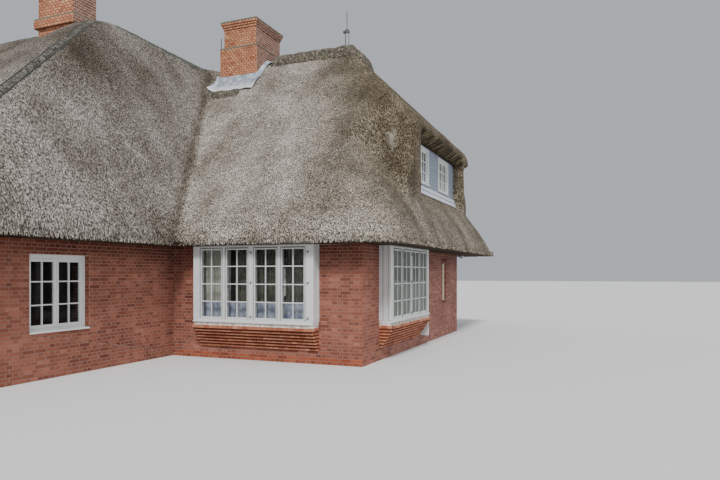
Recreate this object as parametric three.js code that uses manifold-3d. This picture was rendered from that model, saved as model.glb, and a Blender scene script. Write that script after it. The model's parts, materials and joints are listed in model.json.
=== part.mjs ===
// Thatched brick cottage: a main house and a lower wing under one thatched roof.
// Millimetres, +Z up. The drawing origin is the wing's front right wall corner at ground level,
// with X along the front window wall and Y going back. The finished group is moved so that
// the middle of its footprint lies on the origin.

import * as THREE from 'three';
import { mergeVertices } from 'three/addons/utils/BufferGeometryUtils.js';
import Module from 'manifold-3d';

const wasm = await Module();
wasm.setup();

// Clearance between pieces that touch
const GAP = 0.3;

// Walls
const WALL = 360;
const WALL_TOP = 2250;
const COURSE = 62.5;

// Wing and main house, outer faces of the walls
const WING = { x0: -8800, x1: 0, y0: 0, y1: 9450 };
const MAIN = { x0: -14450, x1: -4250, y0: -5500, y1: 5800 };

// Covered porch cut out of the wing's back right corner
const PORCH = { x0: -3000, y0: 7500 };

// Floors
const SLAB_TOP = 120;
const ATTIC_FLOOR_THICKNESS = 180;

// Roof: edge of the thatch in plan, its thickness and its slopes (rise per run)
const WING_EAVE = { x0: -9330, x1: 750, y0: -500, y1: 10000 };
const MAIN_EAVE = { x0: -15000, x1: -3750, y0: -6030, y1: 6330 };
const EAVE_TOP = WALL_TOP + 250;
const EAVE_ROUND = 330;
const EAVE_DROP = 170;
const CORNER_ROUND = 700;
const WING_FRONT_SLOPE = 1.02;
const WING_BACK_SLOPE = 1;
const WING_END_SLOPE = 1.65;
const MAIN_SLOPE = 0.8;
const MAIN_END_SLOPE = 1.84;
const CROSS_RIDGE_X = -6540;
const VALLEYS_MEET_Y = 4500;

// Widths over which one slope rounds into the next, as heights
const WING_RIDGE_BLEND = 900;
const WING_HIP_BLEND = 1500;
const MAIN_RIDGE_BLEND = 1200;
const MAIN_HIP_BLEND = 500;
const VALLEY_BLEND = 500;
const THATCH_DEPTH = 500;
const ROOF_STEP = 520;
const ATTIC_STEP = 900;
const CAPS = {
  wing: { thickness: 190, width: 900, x1: -1750 },
  main: { thickness: 80, width: 700 },
  cross: { thickness: 40, width: 420, y0: 700, y1: 4200 },
  hip: { thickness: 40, width: 130, from: [-6440, 0], to: [-3980, -5500] },
};

// Dormer in the wing's right hip end
const DORMER = { y0: 2830, y1: 7250, sill: 3600, head: 4840, face: -70, thickness: 100 };
const DORMER_SILL = { bottom: 10, top: 230, out: 90 };
const HOOD = { back: -3200, lip: 320, top: 5120, slope: 1, middle: 5290, half: 2460, fall: 700 };
const HOOD_EDGE = { round: 80, drop: 30, lift: 350, reach: 1500, under: 190 };
const FAR_RECESS = { x: 300, x0: 20, y0: 7650, y1: 9600 };
const DORMER_WINDOW = { width: 980, height: 860, bottom: 3910, middles: [4080, 6080] };

// Box bays: width, projection of the timber and of the corbelled brick, and sill height
const BAY = { width: 2650, depth: 250, corbel: 45, courses: 6, base: 4 * COURSE, bed: 50, timber: 40 };
const FRONT_BAY_X = -2205;
const RIGHT_BAY_Y = 2205;
const CASEMENTS = { width: 500, middles: [-910, -320, 320, 910] };

// Plain windows, slit window and door
const WINDOW = { width: 1180, sill: 750, head: 2010, depth: 110, reveal: 90 };
const SLIT = { y: 5980, width: 400, sill: 980, head: 1960, reveal: 50 };
const DOOR = { x: -1700, width: 1000, head: 2080 };

// Chimneys: footprint of the stack, and the heights of the ledge and of the top
const WING_CHIMNEY = { x0: -5865, x1: -4690, y0: 3950, y1: 5430, shaftInset: 80, ledge: 7920, top: 8730 };
const MAIN_CHIMNEY = { x0: -7840, x1: -6800, y0: -230, y1: 430, shaftInset: 0, ledge: 7420, top: 8600 };
const COLLAR = { out: 70, height: 3 * COURSE };
const CHIMNEY_HEAD = { courses: 3, step: 22, lip: 70 };
const APRON = { front: 480, side: 240, left: 120, short: 200, thickness: 60 };

const MAST = { x: -2250, y: 4500, tube: 55, rod: 9, tubeTop: 8130, rodTop: 8630 };
const LAMP = { x: -110, y: 8650, radius: 65, height: 80 };
const POST = { x: -700, y: 9200, size: 180 };

const MATERIALS = {
  brick: material(0x8a4a3a, 0.85),
  chimneyBrick: material(0xc8764f, 0.85),
  thatch: material(0x938a7d, 1),
  ridge: material(0x5f6055, 1),
  joinery: material(0xe6e6e4, 0.45),
  glass: material(0x2c3230, 0.1),
  lead: material(0xb4bbc4, 0.5, 0.6),
  boards: material(0x9aa3b3, 0.6),
  timber: material(0x6d5640, 0.8),
  concrete: material(0xa8a49b, 0.9),
  metal: material(0xa9adb0, 0.4, 0.8),
};

function material(color, roughness, metalness = 0) {
  return new THREE.MeshStandardMaterial({ color, roughness, metalness });
}

// Solids

function solid(geometry) {
  geometry.deleteAttribute('normal');
  geometry.deleteAttribute('uv');
  const merged = mergeVertices(geometry, 1e-3);
  return new wasm.Manifold(new wasm.Mesh({
    numProp: 3,
    vertProperties: new Float32Array(merged.attributes.position.array),
    triVerts: new Uint32Array(merged.index.array),
  }));
}

function geometryOf(shape) {
  const mesh = shape.getMesh();
  const geometry = new THREE.BufferGeometry();
  geometry.setAttribute('position', new THREE.BufferAttribute(mesh.vertProperties, mesh.numProp));
  geometry.setIndex(new THREE.BufferAttribute(mesh.triVerts, 1));
  geometry.computeVertexNormals();
  return geometry;
}

function box(x0, x1, y0, y1, z0, z1) {
  const geometry = new THREE.BoxGeometry(x1 - x0, y1 - y0, z1 - z0);
  geometry.translate((x0 + x1) / 2, (y0 + y1) / 2, (z0 + z1) / 2);
  return solid(geometry);
}

function cylinder(x, y, z0, z1, radius, sides = 16) {
  const geometry = new THREE.CylinderGeometry(radius, radius, z1 - z0, sides);
  geometry.rotateX(Math.PI / 2);
  geometry.translate(x, y, (z0 + z1) / 2);
  return solid(geometry);
}

// Upright prism over an outline in plan
function prism(points, z0, z1) {
  const shape = new THREE.Shape(points.map(([x, y]) => new THREE.Vector2(x, y)));
  const geometry = new THREE.ExtrudeGeometry(shape, { depth: z1 - z0, bevelEnabled: false });
  geometry.translate(0, 0, z0);
  return solid(geometry);
}

// Prism along Y over an outline of (x, z) points
function prismAlongY(points, y0, y1) {
  const shape = new THREE.Shape(points.map(([x, z]) => new THREE.Vector2(x, z)));
  const geometry = new THREE.ExtrudeGeometry(shape, { depth: y1 - y0, bevelEnabled: false });
  geometry.rotateX(Math.PI / 2);
  geometry.translate(0, y1, 0);
  return solid(geometry);
}

// Rectangle in plan with round corners
function roundedOutline(area, radius, z0, z1) {
  const { x0, x1, y0, y1 } = area;
  const shape = new THREE.Shape();
  shape.moveTo(x0 + radius, y0);
  shape.lineTo(x1 - radius, y0);
  shape.absarc(x1 - radius, y0 + radius, radius, -Math.PI / 2, 0);
  shape.lineTo(x1, y1 - radius);
  shape.absarc(x1 - radius, y1 - radius, radius, 0, Math.PI / 2);
  shape.lineTo(x0 + radius, y1);
  shape.absarc(x0 + radius, y1 - radius, radius, Math.PI / 2, Math.PI);
  shape.lineTo(x0, y0 + radius);
  shape.absarc(x0 + radius, y0 + radius, radius, Math.PI, 1.5 * Math.PI);
  const geometry = new THREE.ExtrudeGeometry(shape, {
    depth: z1 - z0, bevelEnabled: false, curveSegments: 5,
  });
  geometry.translate(0, 0, z0);
  return solid(geometry);
}

function inset(area, amount) {
  return {
    x0: area.x0 + amount, x1: area.x1 - amount, y0: area.y0 + amount, y1: area.y1 - amount,
  };
}

function areaBox(area, z0, z1) {
  return box(area.x0, area.x1, area.y0, area.y1, z0, z1);
}

// Thatched roof as a height over the plan

function smoothMin(a, b, blend) {
  const h = Math.max(blend - Math.abs(a - b), 0) / blend;
  return Math.min(a, b) - h * h * blend / 4;
}

function smoothMax(a, b, blend) {
  return -smoothMin(-a, -b, blend);
}

// Distance in from the rounded edge of the thatch, for a point of the plan
function edgeDistance(x, y, eave) {
  const dx = Math.min(x - eave.x0, eave.x1 - x);
  const dy = Math.min(y - eave.y0, eave.y1 - y);
  if (dx > CORNER_ROUND || dy > CORNER_ROUND) return Math.min(dx, dy);
  return CORNER_ROUND - Math.hypot(CORNER_ROUND - dx, CORNER_ROUND - dy);
}

// Rounding of the thatch as it turns down to its lower edge
function eaveDrop(distance) {
  const t = 1 - Math.min(Math.max(distance / EAVE_ROUND, 0), 1);
  return EAVE_DROP * t * t;
}

// Rise of two slopes that meet in a ridge, from the distances to their lower edges
function ridgeRise(first, second, firstSlope, secondSlope, blend) {
  return smoothMin(first * firstSlope, second * secondSlope, blend);
}

function wingSides(y) {
  return ridgeRise(y - WING_EAVE.y0, WING_EAVE.y1 - y, WING_FRONT_SLOPE, WING_BACK_SLOPE, WING_RIDGE_BLEND);
}

function wingRoof(x, y) {
  const right = (WING_EAVE.x1 - x) * WING_END_SLOPE;
  const left = (x - WING_EAVE.x0) * MAIN_END_SLOPE;
  const hips = smoothMin(smoothMin(wingSides(y), right, WING_HIP_BLEND), left, MAIN_HIP_BLEND);
  return EAVE_TOP + hips - eaveDrop(edgeDistance(x, y, WING_EAVE));
}

// Main house, with its ridge along X
function mainRoof(x, y) {
  const { x0, x1, y0, y1 } = MAIN_EAVE;
  const sides = ridgeRise(y - y0, y1 - y, MAIN_SLOPE, MAIN_SLOPE, MAIN_RIDGE_BLEND);
  const ends = ridgeRise(x - x0, x1 - x, MAIN_END_SLOPE, MAIN_END_SLOPE, MAIN_RIDGE_BLEND);
  return EAVE_TOP + smoothMin(sides, ends, MAIN_HIP_BLEND) - eaveDrop(edgeDistance(x, y, MAIN_EAVE));
}

// Part of the main house that runs back to the wing's ridge, with its own ridge along Y
function crossRoof(x, y) {
  const eave = {
    x0: 2 * CROSS_RIDGE_X - MAIN_EAVE.x1, x1: MAIN_EAVE.x1, y0: MAIN_EAVE.y0, y1: WING_EAVE.y1,
  };
  const sides = ridgeRise(x - eave.x0, eave.x1 - x, MAIN_END_SLOPE, MAIN_END_SLOPE, MAIN_HIP_BLEND);
  const ends = ridgeRise(y - eave.y0, eave.y1 - y, MAIN_SLOPE, WING_BACK_SLOPE, MAIN_HIP_BLEND);
  return EAVE_TOP + smoothMin(sides, ends, MAIN_HIP_BLEND) - eaveDrop(edgeDistance(x, y, eave));
}

// Thatch swept out over the dormer, down to its lip, and no higher than the wing's slopes beside it
function hood(x, y) {
  const side = Math.max(0, Math.abs(y - HOOD.middle) - HOOD.half) / HOOD.fall;
  const t = 1 - Math.min((HOOD.lip - x) / HOOD_EDGE.round, 1);
  const top = HOOD.top + HOOD.slope * (HOOD.lip - x) - HOOD.fall * side * side - HOOD_EDGE.drop * t * t;
  const nearLip = Math.max(0, 1 - (HOOD.lip - x) / HOOD_EDGE.reach);
  return Math.min(top, EAVE_TOP + wingSides(y) + HOOD_EDGE.lift * nearLip);
}

function plainHeight(x, y, raised = 0) {
  const wing = Math.max(wingRoof(x, y), raised);
  const roof = smoothMax(smoothMax(wing, crossRoof(x, y), VALLEY_BLEND), mainRoof(x, y), VALLEY_BLEND);
  return Math.max(roof, EAVE_TOP - EAVE_DROP);
}

function roofHeight(x, y) {
  return plainHeight(x, y, x > HOOD.back && x <= HOOD.lip ? hood(x, y) : 0);
}

// Solid under a height over a rectangle of the plan
function heightSolid(area, bottom, heightAt, step) {
  const width = area.x1 - area.x0;
  const depth = area.y1 - area.y0;
  const across = Math.round(width / step);
  const along = Math.round(depth / step);
  const geometry = new THREE.BoxGeometry(width, depth, 1, across, along, 1);
  const position = geometry.attributes.position;
  for (let i = 0; i < position.count; i += 1) {
    const x = position.getX(i) + (area.x0 + area.x1) / 2;
    const y = position.getY(i) + (area.y0 + area.y1) / 2;
    position.setXYZ(i, x, y, position.getZ(i) > 0 ? heightAt(x, y) : bottom);
  }
  return solid(geometry);
}

const ROOF_AREA = inset({ x0: MAIN_EAVE.x0, x1: WING_EAVE.x1, y0: MAIN_EAVE.y0, y1: WING_EAVE.y1 }, -20);
const ROOF_TOP = 9000;

function chimneyHole(chimney) {
  return areaBox(inset(chimney, -GAP), 0, ROOF_TOP);
}

// Space cut out under the dormer's hood, down to the thatch below the sill
function dormerCut() {
  const below = EAVE_TOP + (WING_EAVE.x1 - HOOD.lip) * WING_END_SLOPE;
  return prismAlongY([
    [-WALL, DORMER.sill], [DORMER.face, DORMER.sill], [HOOD.lip, below], [HOOD.lip + 300, below],
    [HOOD.lip + 300, DORMER.head + HOOD_EDGE.under], [HOOD.lip, DORMER.head + HOOD_EDGE.under],
    [DORMER.face, DORMER.head], [-WALL, DORMER.head],
  ], DORMER.y0, DORMER.y1);
}

// Space under the hood's far end, where its lip stands out past the cheek
function farRecess() {
  const { x, x0, y0, y1 } = FAR_RECESS;
  const outer = HOOD.lip + 700;
  return prism([[x, DORMER.y1], [outer, DORMER.y1], [outer, y1], [x0, y1], [x0, y0]], EAVE_TOP, DORMER.head)
    .subtract(heightSolid(ROOF_AREA, 0, plainHeight, ROOF_STEP));
}

function roofShell() {
  const bottom = WALL_TOP + GAP;
  const eaves = roundedOutline(WING_EAVE, CORNER_ROUND, bottom, ROOF_TOP)
    .add(roundedOutline(MAIN_EAVE, CORNER_ROUND, bottom, ROOF_TOP));
  const attic = housePlan(WALL / 2, 0, ROOF_TOP);
  const lowest = bottom + ATTIC_FLOOR_THICKNESS + GAP;
  const ceiling = (x, y) => Math.max(roofHeight(x, y) - THATCH_DEPTH, lowest);
  const inner = heightSolid(ROOF_AREA, 0, ceiling, ATTIC_STEP);
  return heightSolid(ROOF_AREA, bottom, roofHeight, ROOF_STEP)
    .intersect(eaves)
    .subtract(attic.intersect(inner))
    .subtract(dormerCut())
    .subtract(farRecess())
    .subtract(chimneyHole(WING_CHIMNEY))
    .subtract(chimneyHole(MAIN_CHIMNEY))
    .subtract(collar(MAIN_CHIMNEY, GAP));
}

// Plan of the wing's share of the roof, up to the valleys that it makes with the main house
function wingRegion(shift) {
  const far = 1000;
  return prism([
    [WING_EAVE.x1 + far, WING_EAVE.y0 - far], [WING_EAVE.x1 + far, WING_EAVE.y1 + far],
    [WING_EAVE.x0 + shift - far, WING_EAVE.y1 + far],
    [WING_EAVE.x0 + shift - far, MAIN_EAVE.y1 + shift + far * 0.6],
    [WING_EAVE.x0 + shift, MAIN_EAVE.y1 + shift], [CROSS_RIDGE_X + shift, VALLEYS_MEET_Y + shift],
    [MAIN_EAVE.x1 + shift, WING_EAVE.y0 + shift], [MAIN_EAVE.x1 + shift, WING_EAVE.y0 - far],
  ], 0, ROOF_TOP);
}

// Layer over the thatch, inside an outline in plan
function cover(outline, thickness, lift = GAP) {
  return heightSolid(ROOF_AREA, WALL_TOP, (x, y) => roofHeight(x, y) + thickness, ROOF_STEP)
    .subtract(heightSolid(ROOF_AREA, 0, (x, y) => roofHeight(x, y) + lift, ROOF_STEP))
    .intersect(outline);
}

function strip([x0, y0], [x1, y1], width) {
  const length = Math.hypot(x1 - x0, y1 - y0);
  const nx = -(y1 - y0) / length * width / 2;
  const ny = (x1 - x0) / length * width / 2;
  const corners = [[x0 - nx, y0 - ny], [x1 - nx, y1 - ny], [x1 + nx, y1 + ny], [x0 + nx, y0 + ny]];
  return prism(corners, 0, ROOF_TOP);
}

function roof() {
  const shell = roofShell();
  const ridgeY = (WING_CHIMNEY.y0 + WING_CHIMNEY.y1) / 2;
  const mainRidgeY = (MAIN_EAVE.y0 + MAIN_EAVE.y1) / 2;
  const leftRidgeEnd = MAIN_EAVE.x0 + (MAIN_EAVE.x1 - CROSS_RIDGE_X);
  const wingStart = WING_CHIMNEY.x1 + APRON.side + GAP;
  const mainEnd = MAIN_CHIMNEY.x0 - COLLAR.out - GAP;
  const wingCap = strip([wingStart, ridgeY], [CAPS.wing.x1, ridgeY], CAPS.wing.width);
  const mainCap = strip([leftRidgeEnd, mainRidgeY], [mainEnd, mainRidgeY], CAPS.main.width);
  const crossCap = strip([CROSS_RIDGE_X, CAPS.cross.y0], [CROSS_RIDGE_X, CAPS.cross.y1], CAPS.cross.width);
  const hipCap = strip(CAPS.hip.from, CAPS.hip.to, CAPS.hip.width);
  return {
    wing_thatch: piece(shell.intersect(wingRegion(0)), 'thatch'),
    main_thatch: piece(shell.subtract(wingRegion(-0.4)), 'thatch'),
    wing_ridge_cap: piece(cover(wingCap, CAPS.wing.thickness), 'ridge'),
    main_ridge_cap: piece(cover(mainCap, CAPS.main.thickness), 'ridge'),
    cross_ridge_cap: piece(cover(crossCap, CAPS.cross.thickness), 'ridge'),
    main_hip_cap: piece(cover(hipCap, CAPS.hip.thickness), 'ridge'),
  };
}

// Walls

// Outline of both parts of the house in plan, moved in from the outer wall faces
function housePlan(amount, z0, z1) {
  return areaBox(inset(WING, amount), z0, z1).add(areaBox(inset(MAIN, amount), z0, z1));
}

function hole(area, z0, z1) {
  return areaBox(area, z0, z1);
}

function alongX(middle, width, y, thickness = WALL) {
  return { x0: middle - width / 2, x1: middle + width / 2, y0: y - 50, y1: y + thickness + 50 };
}

function alongY(middle, width, x, thickness = WALL) {
  return { x0: x - 50, x1: x + thickness + 50, y0: middle - width / 2, y1: middle + width / 2 };
}

function wall(x0, x1, y0, y1, ...holes) {
  return holes.reduce((body, cut) => body.subtract(cut), box(x0, x1, y0, y1, 0, WALL_TOP));
}

const BAY_OPENING = { width: BAY.width - 300, bottom: 725, top: 2180 };

const WINDOWS = {
  main_right_window: { wall: 'x', at: MAIN.x1, out: 1, middle: -2800 },
  main_front_window_right: { wall: 'y', at: MAIN.y0, out: -1, middle: -6700 },
  main_front_window_left: { wall: 'y', at: MAIN.y0, out: -1, middle: -12000 },
  main_left_window_front: { wall: 'x', at: MAIN.x0, out: -1, middle: -3000 },
  main_left_window_back: { wall: 'x', at: MAIN.x0, out: -1, middle: 3200 },
  main_back_window: { wall: 'y', at: MAIN.y1, out: 1, middle: -11600 },
  back_window_left: { wall: 'y', at: WING.y1, out: 1, middle: -7200 },
  back_window_right: { wall: 'y', at: WING.y1, out: 1, middle: -4700 },
};

// Opening for a window, through the wall that it is named for
function windowHole(name) {
  const { wall: axis, at, out, middle } = WINDOWS[name];
  const inner = out > 0 ? at - WALL : at;
  const place = axis === 'x' ? alongY : alongX;
  return hole(place(middle, WINDOW.width, inner), WINDOW.sill, WINDOW.head);
}

function walls() {
  const { x0: wx0, x1: wx1, y0: wy0, y1: wy1 } = WING;
  const { x0: mx0, x1: mx1, y0: my0, y1: my1 } = MAIN;
  const bayHole = (area) => hole(area, BAY_OPENING.bottom, BAY_OPENING.top);
  const doorHole = hole(alongX(DOOR.x, DOOR.width, PORCH.y0 - WALL), SLAB_TOP, DOOR.head);
  return {
    front_wall: piece(wall(mx1 + GAP, wx1, wy0, wy0 + WALL,
      bayHole(alongX(FRONT_BAY_X, BAY_OPENING.width, wy0))), 'brick'),
    right_wall: piece(wall(wx1 - WALL, wx1, wy0 + WALL + GAP, PORCH.y0,
      bayHole(alongY(RIGHT_BAY_Y, BAY_OPENING.width, wx1 - WALL)),
      hole(alongY(SLIT.y, SLIT.width, wx1 - WALL), SLIT.sill, SLIT.head)), 'brick'),
    porch_back_wall: piece(wall(PORCH.x0, wx1 - WALL - GAP, PORCH.y0 - WALL, PORCH.y0, doorHole), 'brick'),
    porch_side_wall: piece(wall(PORCH.x0 - WALL, PORCH.x0 - GAP,
      PORCH.y0 - WALL, wy1 - WALL - GAP), 'brick'),
    back_wall: piece(wall(wx0, PORCH.x0, wy1 - WALL, wy1,
      windowHole('back_window_left'), windowHole('back_window_right')), 'brick'),
    wing_left_wall: piece(wall(wx0, wx0 + WALL, my1 + GAP, wy1 - WALL - GAP), 'brick'),
    main_back_wall: piece(wall(mx0, wx0 + WALL, my1 - WALL, my1, windowHole('main_back_window')), 'brick'),
    main_left_wall: piece(wall(mx0, mx0 + WALL, my0 + WALL + GAP, my1 - WALL - GAP,
      windowHole('main_left_window_front'), windowHole('main_left_window_back')), 'brick'),
    main_front_wall: piece(wall(mx0, mx1, my0, my0 + WALL,
      windowHole('main_front_window_right'), windowHole('main_front_window_left')), 'brick'),
    main_right_wall: piece(wall(mx1 - WALL, mx1, my0 + WALL + GAP, wy0 + WALL,
      windowHole('main_right_window')), 'brick'),
  };
}

function floors() {
  const porch = box(PORCH.x0 - WALL - GAP, WING.x1, PORCH.y0 - WALL - GAP, WING.y1, -10, WALL_TOP);
  const bottom = WALL_TOP + GAP;
  return {
    ground_floor: piece(housePlan(WALL + GAP, 0, SLAB_TOP).subtract(porch), 'concrete'),
    attic_floor: piece(housePlan(WALL / 2 + GAP, bottom, bottom + ATTIC_FLOOR_THICKNESS)
      .subtract(chimneyHole(WING_CHIMNEY))
      .subtract(chimneyHole(MAIN_CHIMNEY)), 'timber'),
  };
}

// Bays, drawn around x = 0 with the wall face at y = 0 and the outside at negative y

const BAY_BED = BAY.base + (BAY.courses + 1) * COURSE;
const BAY_SILL = BAY_BED + BAY.bed;
const BAY_RAIL = 90;

// Courses that step out at the front only, and the mortar bed that the frame stands on
function bayBase() {
  const half = BAY.width / 2;
  const out = BAY.depth + BAY.corbel;
  const levels = Array.from({ length: BAY.courses + 1 }, (_, i) => i);
  const bed = box(-half, half, -BAY.depth, -GAP, BAY_BED, BAY_BED + BAY.bed);
  return levels.map((i) => {
    const z = BAY.base + i * COURSE;
    return box(-half, half, -(i + 1) * out / (BAY.courses + 1), -GAP, z, z + COURSE);
  }).reduce((body, course) => body.add(course), bed);
}

function bayFrame() {
  const half = BAY.width / 2;
  const inner = BAY.timber;
  const bottom = BAY_SILL + GAP;
  const shell = box(-half, half, -BAY.depth, -GAP, bottom, WALL_TOP - GAP)
    .subtract(box(-half + inner, half - inner, -BAY.depth + inner, 10,
      bottom + BAY_RAIL, WALL_TOP - inner));
  return CASEMENTS.middles
    .map((x) => box(x - CASEMENTS.width / 2, x + CASEMENTS.width / 2, -BAY.depth - 10,
      -BAY.depth + inner + 10, bottom + BAY_RAIL, WALL_TOP - inner))
    .reduce((body, opening) => body.subtract(opening), shell);
}

function bayGlass() {
  const half = BAY.width / 2 - BAY.timber - GAP;
  const y = -BAY.depth + BAY.timber + GAP;
  return box(-half, half, y, y + 8, BAY_SILL + BAY_RAIL + 2 * GAP, WALL_TOP - BAY.timber - GAP);
}

function bays() {
  const pieces = {};
  for (const [name, place] of [['front_bay', placeFront], ['right_bay', placeRight]]) {
    pieces[`${name}_base`] = place(piece(bayBase(), 'brick'));
    pieces[`${name}_frame`] = place(piece(bayFrame(), 'joinery'));
    pieces[`${name}_glass`] = place(piece(bayGlass(), 'glass'));
  }
  return pieces;
}

function placeFront(mesh) {
  mesh.position.set(FRONT_BAY_X, 0, 0);
  return mesh;
}

function placeRight(mesh) {
  mesh.position.set(0, RIGHT_BAY_Y, 0);
  mesh.rotation.z = Math.PI / 2;
  return mesh;
}

// Windows and door, each drawn around x = 0 with its outer face at y = 0

// Frame and closed casements of one window, with its panes sunk into the outer face
function windowUnit(width, bottom, top, depth, columns) {
  const edge = 65;
  const sunk = 35;
  const paneWidth = (width - 2 * GAP - (columns + 1) * edge) / columns;
  const body = box(-width / 2 + GAP, width / 2 - GAP, 0, depth, bottom + GAP, top - GAP);
  return Array.from({ length: columns }, (_, i) => {
    const x = -width / 2 + edge + i * (paneWidth + edge);
    return box(x, x + paneWidth, -10, sunk, bottom + edge, top - edge);
  }).reduce((unit, pane) => unit.subtract(pane), body);
}

function placeUnit(mesh, axis, out, at, middle, reveal) {
  const face = at - out * reveal;
  const turns = { 'y-1': 0, x1: Math.PI / 2, y1: Math.PI, 'x-1': -Math.PI / 2 };
  mesh.rotation.z = turns[`${axis}${out}`];
  mesh.position.set(axis === 'x' ? face : middle, axis === 'x' ? middle : face, 0);
  return mesh;
}

function plainWindows() {
  const pieces = {};
  for (const [name, { wall: axis, at, out, middle }] of Object.entries(WINDOWS)) {
    const unit = piece(windowUnit(WINDOW.width, WINDOW.sill, WINDOW.head, WINDOW.depth, 2), 'joinery');
    pieces[name] = placeUnit(unit, axis, out, at, middle, WINDOW.reveal);
  }
  const slit = piece(windowUnit(SLIT.width, SLIT.sill, SLIT.head, WINDOW.depth, 1), 'joinery');
  pieces.slit_window = placeUnit(slit, 'x', 1, WING.x1, SLIT.y, SLIT.reveal);
  return pieces;
}

function entranceDoor() {
  const edge = 70;
  const leafFront = 40;
  const inside = DOOR.width / 2 - edge;
  const half = DOOR.width / 2 - GAP;
  const body = box(-half, half, 0, WINDOW.depth, SLAB_TOP + GAP, DOOR.head - GAP)
    .subtract(box(-inside, inside, -10, leafFront, SLAB_TOP + GAP + 30, DOOR.head - edge));
  const panels = [[240, 1000], [1120, 1880]];
  const unit = panels
    .map(([z0, z1]) => box(-inside + 120, inside - 120, 0, leafFront + 15, z0, z1))
    .reduce((door, panel) => door.subtract(panel), body);
  return placeUnit(piece(unit, 'joinery'), 'y', 1, PORCH.y0, DOOR.x, WINDOW.reveal);
}

// Dormer

function dormer() {
  const { y0, y1, sill, head, face, thickness } = DORMER;
  const { width, height, bottom, middles } = DORMER_WINDOW;
  const boards = middles
    .map((y) => box(face - thickness - 10, face + 10, y - width / 2, y + width / 2,
      bottom, bottom + height))
    .reduce((body, opening) => body.subtract(opening),
      box(face - thickness, face, y0 + GAP, y1 - GAP, sill + GAP, head - GAP));
  const unit = () => piece(windowUnit(width, bottom, bottom + height, thickness, 2), 'joinery');
  const { bottom: low, top: high, out } = DORMER_SILL;
  const sillBoard = box(face + GAP, face + out, y0 + GAP, y1 - GAP, sill + low, sill + high)
    .subtract(heightSolid(ROOF_AREA, 0, wingBelowDormer, ROOF_STEP));
  return {
    dormer_wall: piece(boards, 'boards'),
    dormer_window_near: placeUnit(unit(), 'x', 1, face, middles[0], 0),
    dormer_window_far: placeUnit(unit(), 'x', 1, face, middles[1], 0),
    dormer_sill: piece(sillBoard, 'lead'),
  };
}

function wingBelowDormer(x) {
  return EAVE_TOP + (WING_EAVE.x1 - x) * WING_END_SLOPE + GAP;
}

// Chimneys

function chimneyStack(chimney) {
  return areaBox(chimney, SLAB_TOP + GAP, chimney.ledge);
}

// Projecting band of brick just above the thatch
function collar(chimney, clearance = 0) {
  const bottom = chimney.ledge - COLLAR.height - clearance;
  return areaBox(inset(chimney, -COLLAR.out - clearance), bottom, chimney.ledge + clearance);
}

// Shaft above the ledge, with a head of courses that step out and a lip that steps back
function chimneyShaft(chimney) {
  const { shaftInset: back, ledge, top } = chimney;
  const headBottom = top - CHIMNEY_HEAD.lip - CHIMNEY_HEAD.courses * COURSE;
  const shaft = areaBox(inset(chimney, back), ledge + GAP, headBottom);
  const courses = Array.from({ length: CHIMNEY_HEAD.courses }, (_, i) => {
    const z = headBottom + i * COURSE;
    return areaBox(inset(chimney, back - (i + 1) * CHIMNEY_HEAD.step), z, z + COURSE);
  });
  const lip = areaBox(inset(chimney, back), top - CHIMNEY_HEAD.lip, top);
  return [...courses, lip].reduce((body, course) => body.add(course), shaft);
}

function chimneys() {
  const { x0, x1, y0, y1 } = WING_CHIMNEY;
  const apron = prism([
    [x0 - APRON.left, y0 - APRON.front], [x1 + APRON.side, y0 - APRON.front],
    [x1 + APRON.side, y1 - APRON.short], [x1 + GAP, y1 - APRON.short],
    [x1 + GAP, y0 - GAP], [x0 - APRON.left, y0 - GAP],
  ], 0, ROOF_TOP);
  return {
    wing_chimney_stack: piece(chimneyStack(WING_CHIMNEY), 'chimneyBrick'),
    wing_chimney_shaft: piece(chimneyShaft(WING_CHIMNEY), 'chimneyBrick'),
    main_chimney_stack: piece(chimneyStack(MAIN_CHIMNEY).add(collar(MAIN_CHIMNEY)), 'chimneyBrick'),
    main_chimney_shaft: piece(chimneyShaft(MAIN_CHIMNEY), 'chimneyBrick'),
    chimney_apron: piece(cover(apron, APRON.thickness), 'lead'),
  };
}

// Porch, lamp and mast

function porch() {
  const { x, y, size } = POST;
  const half = size / 2;
  const beamBottom = WALL_TOP - size;
  const top = WALL_TOP - GAP;
  return {
    porch_post: piece(box(x - half, x + half, y - half, y + half, 0, beamBottom - GAP), 'timber'),
    porch_side_beam: piece(box(x - half, x + half, PORCH.y0 + GAP, y - half - GAP, beamBottom, top), 'timber'),
    porch_rear_beam: piece(box(PORCH.x0 + GAP, x + half, y - half, y + half, beamBottom, top), 'timber'),
  };
}

function smallParts() {
  const mast = cylinder(MAST.x, MAST.y, EAVE_TOP, MAST.tubeTop, MAST.tube)
    .add(cylinder(MAST.x, MAST.y, MAST.tubeTop - 1, MAST.rodTop, MAST.rod, 8))
    .subtract(heightSolid(ROOF_AREA, 0, (x, y) => roofHeight(x, y) + CAPS.wing.thickness + GAP, ROOF_STEP));
  const lamp = cylinder(LAMP.x, LAMP.y, WALL_TOP - LAMP.height, WALL_TOP, LAMP.radius);
  return {
    ridge_mast: piece(mast, 'metal'),
    eave_lamp: piece(lamp, 'metal'),
  };
}

function piece(shape, slot) {
  return new THREE.Mesh(geometryOf(shape), MATERIALS[slot]);
}

const house = new THREE.Group();
const parts = {
  ...walls(), ...floors(), ...bays(), ...plainWindows(), entrance_door: entranceDoor(),
  ...roof(), ...dormer(), ...chimneys(), ...porch(), ...smallParts(),
};
for (const [name, mesh] of Object.entries(parts)) {
  mesh.name = name;
  house.add(mesh);
}
house.position.set(-(MAIN_EAVE.x0 + WING_EAVE.x1) / 2, -(MAIN_EAVE.y0 + WING_EAVE.y1) / 2, 0);

export default house;
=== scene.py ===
import json
import math
import random

import bmesh
import bpy
from mathutils import Matrix, Vector, noise


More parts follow.
